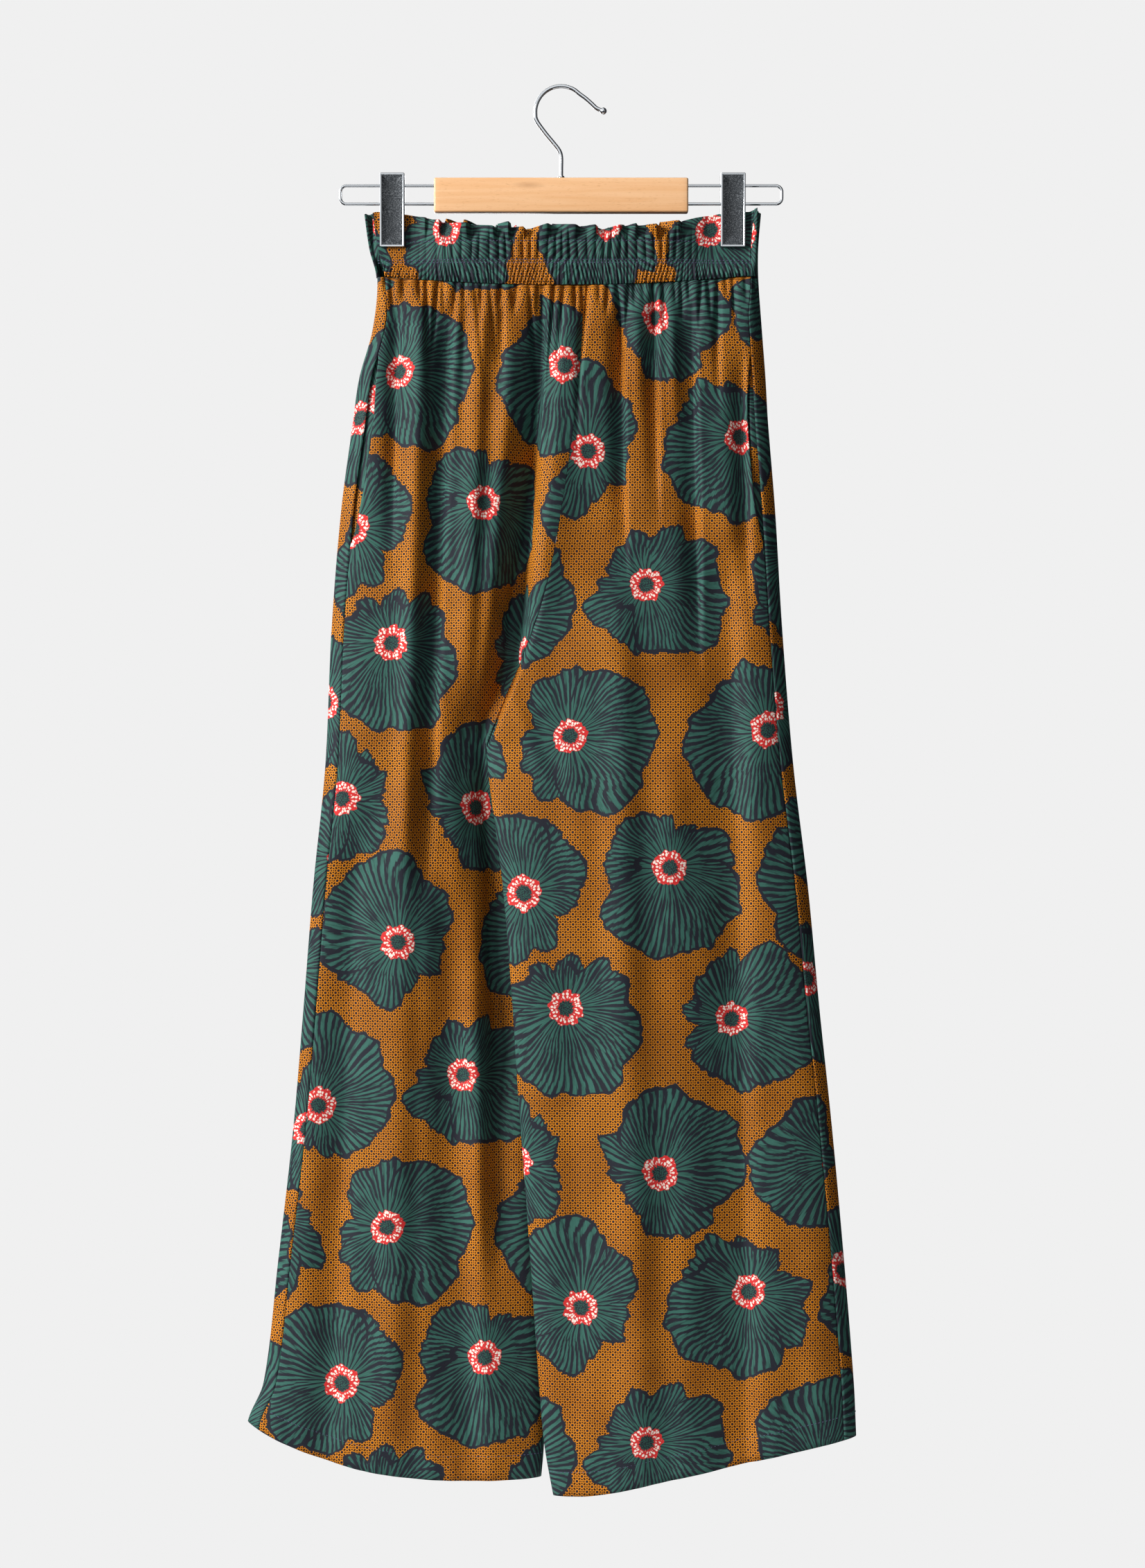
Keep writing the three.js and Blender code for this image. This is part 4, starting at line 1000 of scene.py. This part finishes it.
def jaw_object(name, place, face):
    """Rings of a rounded rectangle: side wall, rolled rim and sunk plate, deeper at the top."""
    half_w, half_h = CLIP["width"] / 2, (CLIP["top"] - CLIP["bottom"]) / 2
    inset, proud = JAW_RINGS["inset"][:, None], JAW_RINGS["proud"][:, None]
    x, z = rounded_rings(half_w, half_h, inset, CLIP["corner"] - 0.4 * inset)
    deep = CLIP["bottom_deep"] + (CLIP["top_deep"] - CLIP["bottom_deep"]) * (z + half_h) / (2 * half_h)
    y = CLIP["parting"] + (deep - CLIP["parting"]) * proud
    points = np.stack([place + x, face * y, (CLIP["top"] + CLIP["bottom"]) / 2 + z], axis=-1)
    faces = grid_faces(*points.shape[:2], closed=True)
    made = mesh_object(name, points.reshape(-1, 3), faces[:, ::-1] if face < 0 else faces)
    ring = np.repeat(np.arange(len(x) - 1), x.shape[1])
    for material in (chrome, nickel):
        made.data.materials.append(material)
    made.data.polygons.foreach_set("material_index", (ring >= PLATE_RING).astype(np.int32))
    made.data.set_sharp_from_angle(angle=np.radians(25))
    return made


jaws = []
for word, place in CLIP_X.items():
    for part, face in (("front", -1), ("back", 1)):
        jaws.append(jaw_object(f"jaw_{word}_{part}", place, face))
        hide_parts(f"clip_{word}_{part}")


# %% [markdown]
# ## The print
# The cotton is printed with a mustard ground of small navy-eyed rosettes, about 6 mm apart, and with
# large open flowers in green, navy veined, round a red ring with white seeds. The flowers' places are
# charted for one repeat. Each is drawn by formulas in polar coordinates round its centre, and the
# shader finds the nearest centre, so one drawing serves them all and no two come out alike.

# %% Chart of one repeat: centre in mm, turn in radians, size, seed
REPEAT = (272.0, 704.0)
CHART = table("x y turn size seed", [
    (31, 47, 0.3, 0.95, 3.1), (163, 47, 2.2, 0.92, 7.7), (85, 179, 5.6, 0.95, 1.9),
    (226, 167, 3.9, 0.98, 5.2), (24, 283, 4.6, 0.93, 8.4), (174, 287, 0.9, 0.99, 2.6),
    (86, 397, 2.9, 0.95, 6.3), (238, 404, 1.5, 0.95, 9.5), (33, 513, 5.1, 0.98, 4.5),
    (167, 512, 3.3, 0.95, 0.8), (101, 631, 1.9, 0.93, 10.9), (239, 633, 4.2, 0.97, 12.2),
])
HEART_SHIFT = 16.0  # the heart lies this far from the flower's middle, away from its fan


def nearest_flower(tree, where):
    """The vector from the nearest charted centre, that flower's traits, and how near the next one is."""
    best, second, local, traits = 1e6, 1e6, (0, 0, 0), (0, 1, 0)
    half = (REPEAT[0] / 2, REPEAT[1] / 2, 1)
    low = tuple(-v for v in half)
    for x, y, *own in zip(*CHART.values()):
        away = add(tree, "VectorMath SUBTRACT", where, (x, y, 0))
        near = add(tree, "VectorMath WRAP", away, half, low)
        far = add(tree, "VectorMath LENGTH", near, out=1)
        closer = add(tree, "Math LESS_THAN", far, best)
        local = add(tree, MIX, {0: closer, 4: local, 5: near}, **PLACE)
        traits = add(tree, MIX, {0: closer, 4: traits, 5: own}, **PLACE)
        beaten = add(tree, "Math MAXIMUM", far, best)
        second = add(tree, "Math MINIMUM", beaten, second)
        best = add(tree, "Math MINIMUM", far, best)
    return local, traits, add(tree, "Math SUBTRACT", second, best)


# %% Rosettes of the ground
INK = {"ground": "#D38116", "ground_worn": "#C1730F", "bead": "#2B1507", "eye": "#201A24",
       "navy": "#20222B", "green": "#2B5148", "green_light": "#39675C", "red": "#D43130", "seed": "#F8E6D8"}
LATTICE = 5.94  # mm between rosettes, along lines turned by 45 degrees


def rosettes(tree, flat):
    """A navy eye in each square cell, an orange ring, and eight dark beads where the cells meet."""
    slant = add(tree, ROTATE, {"Vector": flat, "Angle": np.pi / 4}, rotation_type="Z_AXIS")
    half = LATTICE / 2
    cell = add(tree, "VectorMath WRAP", slant, (half, half, 1), (-half, -half, -1))
    radius = add(tree, "VectorMath LENGTH", cell, out=1)
    x, y, _ = add(tree, SPLIT, cell).node.outputs
    turned = add(tree, "Math MULTIPLY", add(tree, "Math ARCTAN2", y, x), 8.0)
    wave = add(tree, "Math COSINE", turned)
    inner, outer = add(tree, RANGE, radius, 1.8, 2.1), add(tree, RANGE, radius, 3.2, 2.95)
    ring = add(tree, "Math MULTIPLY", inner, outer)
    bead = add(tree, "Math MULTIPLY", ring, add(tree, RANGE, wave, -0.9, -0.3))
    corner = add(tree, RANGE, radius, 3.5, 3.8, 0.0, 0.85)
    dark = add(tree, "Math MAXIMUM", bead, corner)
    blotch = add(tree, RANGE, add(tree, NOISE, {"Vector": flat, "Scale": 0.02, "Detail": 3.0}), 0.4, 0.6)
    ground = add(tree, MIX, {0: blotch, 6: INK["ground"], 7: INK["ground_worn"]}, **COLOUR)
    beaded = add(tree, MIX, {0: dark, 6: ground, 7: INK["bead"]}, **COLOUR)
    eye = add(tree, RANGE, radius, 1.22, 0.95)
    return add(tree, MIX, {0: eye, 6: beaded, 7: INK["eye"]}, **COLOUR)


# %% Petals, painted one over another: two small ones, two at the sides, and a broad fan on top
PETALS = table("angle spread reach", [
    (4.25, 0.66, 43), (5.4, 0.78, 46), (3.4, 0.95, 59), (-0.05, 0.95, 61), (1.62, 1.72, 79),
])
ROUND = 0.27  # the power that shapes a petal: the smaller, the blunter


def petals(tree, ray, radius, seed):
    """Cover and navy edge of the petals: reach * c^0.27, where c is 1 on a petal's axis, 0 at its sides."""
    at = add(tree, "VectorMath MULTIPLY_ADD", ray, (1.5, 1.5, 1.5), seed)
    broad = add(tree, NOISE, {"Vector": at, "Scale": 0.8, "Detail": 0.0})
    sway = add(tree, RANGE, broad, 0.2, 0.8, -0.55, 0.55)
    swayed = add(tree, ROTATE, {"Vector": ray, "Angle": sway}, rotation_type="Z_AXIS")
    swing = add(tree, NOISE, {"Vector": at, "Scale": 1.9, "Detail": 0.0})
    wave = add(tree, RANGE, swing, 0.25, 0.75, -6.0, 5.0)
    scallop = add(tree, NOISE, {"Vector": at, "Scale": 5.2, "Detail": 1.0})
    ripple = add(tree, "Math ADD", wave, add(tree, RANGE, scallop, 0.3, 0.7, -2.4, 2.4))
    thick = add(tree, RANGE, scallop, 0.35, 0.65, -1.3, -2.9)
    cover, line = 0.0, 0.0
    for angle, spread, reach in zip(*PETALS.values()):
        axis = (np.cos(angle), np.sin(angle), 0)
        along = add(tree, "VectorMath DOT_PRODUCT", swayed, axis, out=1)
        full = add(tree, "Math POWER", add(tree, RANGE, along, np.cos(spread), 1.0), ROUND)
        far = add(tree, "Math ADD", ripple, reach)
        edge = add(tree, "Math SUBTRACT", add(tree, "Math MULTIPLY", full, far), radius)
        inside = add(tree, RANGE, edge, -0.25, 0.25)
        narrow = add(tree, RANGE, full, 0.3, 1.0, 3.6, 1.0)
        past = add(tree, "Math MULTIPLY_ADD", thick, narrow, edge)
        rim = add(tree, RANGE, past, 0.2, -0.2)
        cover = add(tree, "Math MAXIMUM", cover, inside)
        line = add(tree, MIX, {0: inside, 2: line, 3: rim})
    return cover, line, scallop


# %% Veins: half of those that leave the ring, and where each set starts, ends, and how wide it is
VEINS = 17.0
VEIN_SETS = ((0.0, 12, 58, 0.58, 0.36), (np.pi / 2, 18, 30, -0.4, 0.4), (None, 34, 56, -0.5, 0.42))


def veins(tree, ray, angle, radius, kind):
    """Dark where |sin(17 a)| is small, with more veins between them further out, and rough edges."""
    slow = add(tree, JOIN, 0.0, 0.0, add(tree, "Math MULTIPLY_ADD", radius, 0.017, kind))
    quick = add(tree, JOIN, 0.0, 0.0, add(tree, "Math MULTIPLY_ADD", radius, 0.045, kind))
    at = add(tree, "VectorMath MULTIPLY_ADD", ray, (0.9, 0.9, 0.9), slow)
    drift = add(tree, NOISE, {"Vector": at, "Scale": 0.9, "Detail": 1.0})
    bend = add(tree, "Math MULTIPLY", drift, 13.0)
    phase = add(tree, "Math MULTIPLY_ADD", angle, VEINS, bend)
    streak_at = add(tree, "VectorMath MULTIPLY_ADD", ray, (22, 22, 22), quick)
    streak = add(tree, NOISE, {"Vector": streak_at, "Scale": 1.0, "Detail": 3.0, "Roughness": 0.65})
    rough = add(tree, RANGE, streak, 0.3, 0.7, -0.3, 0.3)
    dark = 0.0
    for shift, start, end, near, far in VEIN_SETS:
        turned = (add(tree, "Math MULTIPLY", phase, 2.0) if shift is None
                  else add(tree, "Math ADD", phase, shift))
        line = add(tree, "Math ABSOLUTE", add(tree, "Math SINE", turned))
        wide = add(tree, "Math ADD", add(tree, RANGE, radius, start, end, near, far), rough)
        mark = add(tree, RANGE, add(tree, "Math SUBTRACT", wide, line), -0.08, 0.08)
        dark = add(tree, "Math MAXIMUM", dark, mark)
    return dark, streak


# %% The ring at the heart
def heart(tree, petal, ray, radius, turned, scallop, seed):
    """A red ring from 7 to 15 mm with off-white seeds that point outwards, round a speckled centre."""
    at = add(tree, "VectorMath MULTIPLY_ADD", ray, (1.7, 1.7, 1.7), seed)
    lobes = add(tree, NOISE, {"Vector": at, "Scale": 1.6, "Detail": 1.5})
    outer = add(tree, "Math ADD", radius, add(tree, RANGE, lobes, 0.28, 0.72, -2.2, 2.2))
    inner = add(tree, "Math ADD", radius, add(tree, RANGE, scallop, 0.3, 0.7, -1.3, 1.3))
    cone = add(tree, JOIN, 0.0, 0.0, add(tree, "Math MULTIPLY", radius, 0.36))
    spot = add(tree, "VectorMath MULTIPLY_ADD", ray, (5.6, 5.6, 5.6), cone)
    cells = add(tree, "TexVoronoi", {"Vector": spot, "Scale": 1.0, "Randomness": 0.8})
    seeds = add(tree, "Math MULTIPLY", add(tree, RANGE, cells, 0.5, 0.4), add(tree, RANGE, inner, 8.0, 8.7))
    white = add(tree, "Math MULTIPLY", seeds, add(tree, RANGE, outer, 14.4, 14.0))
    ring = add(tree, MIX, {0: white, 6: INK["red"], 7: INK["seed"]}, **COLOUR)
    ringed = add(tree, MIX, {0: add(tree, RANGE, outer, 15.0, 14.6), 6: petal, 7: ring}, **COLOUR)
    fleck = add(tree, RANGE, add(tree, NOISE, {"Vector": turned, "Scale": 0.8, "Detail": 2.0}), 0.47, 0.53)
    centre = add(tree, MIX, {0: fleck, 6: INK["green"], 7: INK["navy"]}, **COLOUR)
    return add(tree, MIX, {0: add(tree, RANGE, inner, 7.0, 6.6), 6: ringed, 7: centre}, **COLOUR)


# %% The cloth's material
def print_material(name):
    """Printed cotton: rosettes, flowers over them, a fine weave, and hardly any sheen."""
    made, tree, shader = new_material(name)
    uv = add(tree, "UVMap", uv_map="cloth")
    flat = add(tree, "VectorMath SCALE", {0: uv, "Scale": 1000.0})
    local, traits, apart = nearest_flower(tree, flat)
    turn, size, kind = add(tree, SPLIT, traits).node.outputs
    upright = add(tree, ROTATE, {"Vector": local, "Angle": turn}, rotation_type="Z_AXIS")
    turned = add(tree, "VectorMath ADD", upright, (0, HEART_SHIFT, 0))
    length = add(tree, "VectorMath LENGTH", turned, out=1)
    radius = add(tree, "Math DIVIDE", length, size)
    ray = add(tree, "VectorMath NORMALIZE", turned)
    x, y, _ = add(tree, SPLIT, ray).node.outputs
    angle = add(tree, "Math ARCTAN2", y, x)
    seed = add(tree, JOIN, 0.0, 0.0, kind)
    cover, line, scallop = petals(tree, ray, radius, seed)
    dark, streak = veins(tree, ray, angle, radius, kind)
    worn = add(tree, RANGE, streak, 0.42, 0.6)
    green = add(tree, MIX, {0: worn, 6: INK["green_light"], 7: INK["green"]}, **COLOUR)
    touching = add(tree, RANGE, apart, 3.6, 2.8)
    outline = add(tree, "Math MAXIMUM", line, touching)
    veined = add(tree, "Math MAXIMUM", dark, outline)
    petal = add(tree, MIX, {0: veined, 6: green, 7: INK["navy"]}, **COLOUR)
    flower = heart(tree, petal, ray, radius, turned, scallop, seed)
    colour = add(tree, MIX, {0: cover, 6: rosettes(tree, flat), 7: flower}, **COLOUR)
    warp, weft = (add(tree, "TexWave", {"Vector": flat, "Scale": 0.42, "Distortion": 0.8},
                      out="Fac", bands_direction=way) for way in ("X", "Y"))
    weave = add(tree, "Math MULTIPLY", warp, weft)
    bump = add(tree, "Bump", {"Height": weave, "Strength": 0.3, "Distance": 0.0002})
    feed(tree, shader, {"Base Color": colour, "Roughness": 0.68, "Sheen Weight": 0.02,
                        "Sheen Roughness": 0.4, "Specular IOR Level": 0.2, "Normal": bump})
    return made


# Matt, so the folds read as light and shade and not as gloss.
printed = print_material("printed cotton")
print("print nodes:", len(printed.node_tree.nodes))


# %% Thread
def thread_material(name):
    """Spun polyester: dull violet, with a painted highlight in lighter diagonal bands, where the twisted
    thread would catch the light.
    """
    made, tree, shader = new_material(name)
    where = add(tree, COORDINATES, out="Object")
    # painted highlight: lighter diagonal bands stand for the light caught by the twisted thread
    twist_highlight = add(tree, "TexWave", {"Vector": where, "Scale": 600.0, "Distortion": 2.0}, out="Fac",
                bands_direction="DIAGONAL")
    # the dull violet, with the painted highlight mixed in
    violet_and_highlight = add(tree, MIX, {0: twist_highlight, 6: "#3F3F5C", 7: "#5D5D80"}, **COLOUR)
    feed(tree, shader, {"Base Color": violet_and_highlight, "Roughness": 0.6})
    return made


# Cooler and paler than the ground's beads, so the rows of stitches just show.
thread = thread_material("polyester sewing thread")

# %% Materials onto pieces, and every piece onto the one body
# The jaws have their two metals already.
finishes = [(outer, printed, "print"), (pockets, printed, "pocket"), (sewn, thread, None),
            ([hook, ball, collar, *rails], chrome, "chrome"), (jaws, nickel, "satin"),
            ([bar], beech, "beech")]
for group, material, slot in finishes:
    for piece in group:
        if not piece.data.materials:
            piece.data.materials.append(material)
        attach(piece, "root")
for word in SIDES:
    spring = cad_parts[f"clip_{word}_spring"]
    spring.data.materials.clear()
    spring.data.materials.append(nickel)

# %% Floor
FLOOR = {"half": 600.0, "level": -1400.0}
corners = [(x * FLOOR["half"], y * FLOOR["half"], FLOOR["level"])
           for x, y in ((-1, -1), (1, -1), (1, 1), (-1, 1))]
floor = mesh_object("floor", np.array(corners), np.array([(0, 1, 2, 3)]), smooth=False)
pale, pale_tree, pale_shader = new_material("pale floor")  # matt, so nothing is mirrored in it
feed(pale_tree, pale_shader, {"Base Color": "#E9EAEB", "Roughness": 0.9})
floor.data.materials.append(pale)
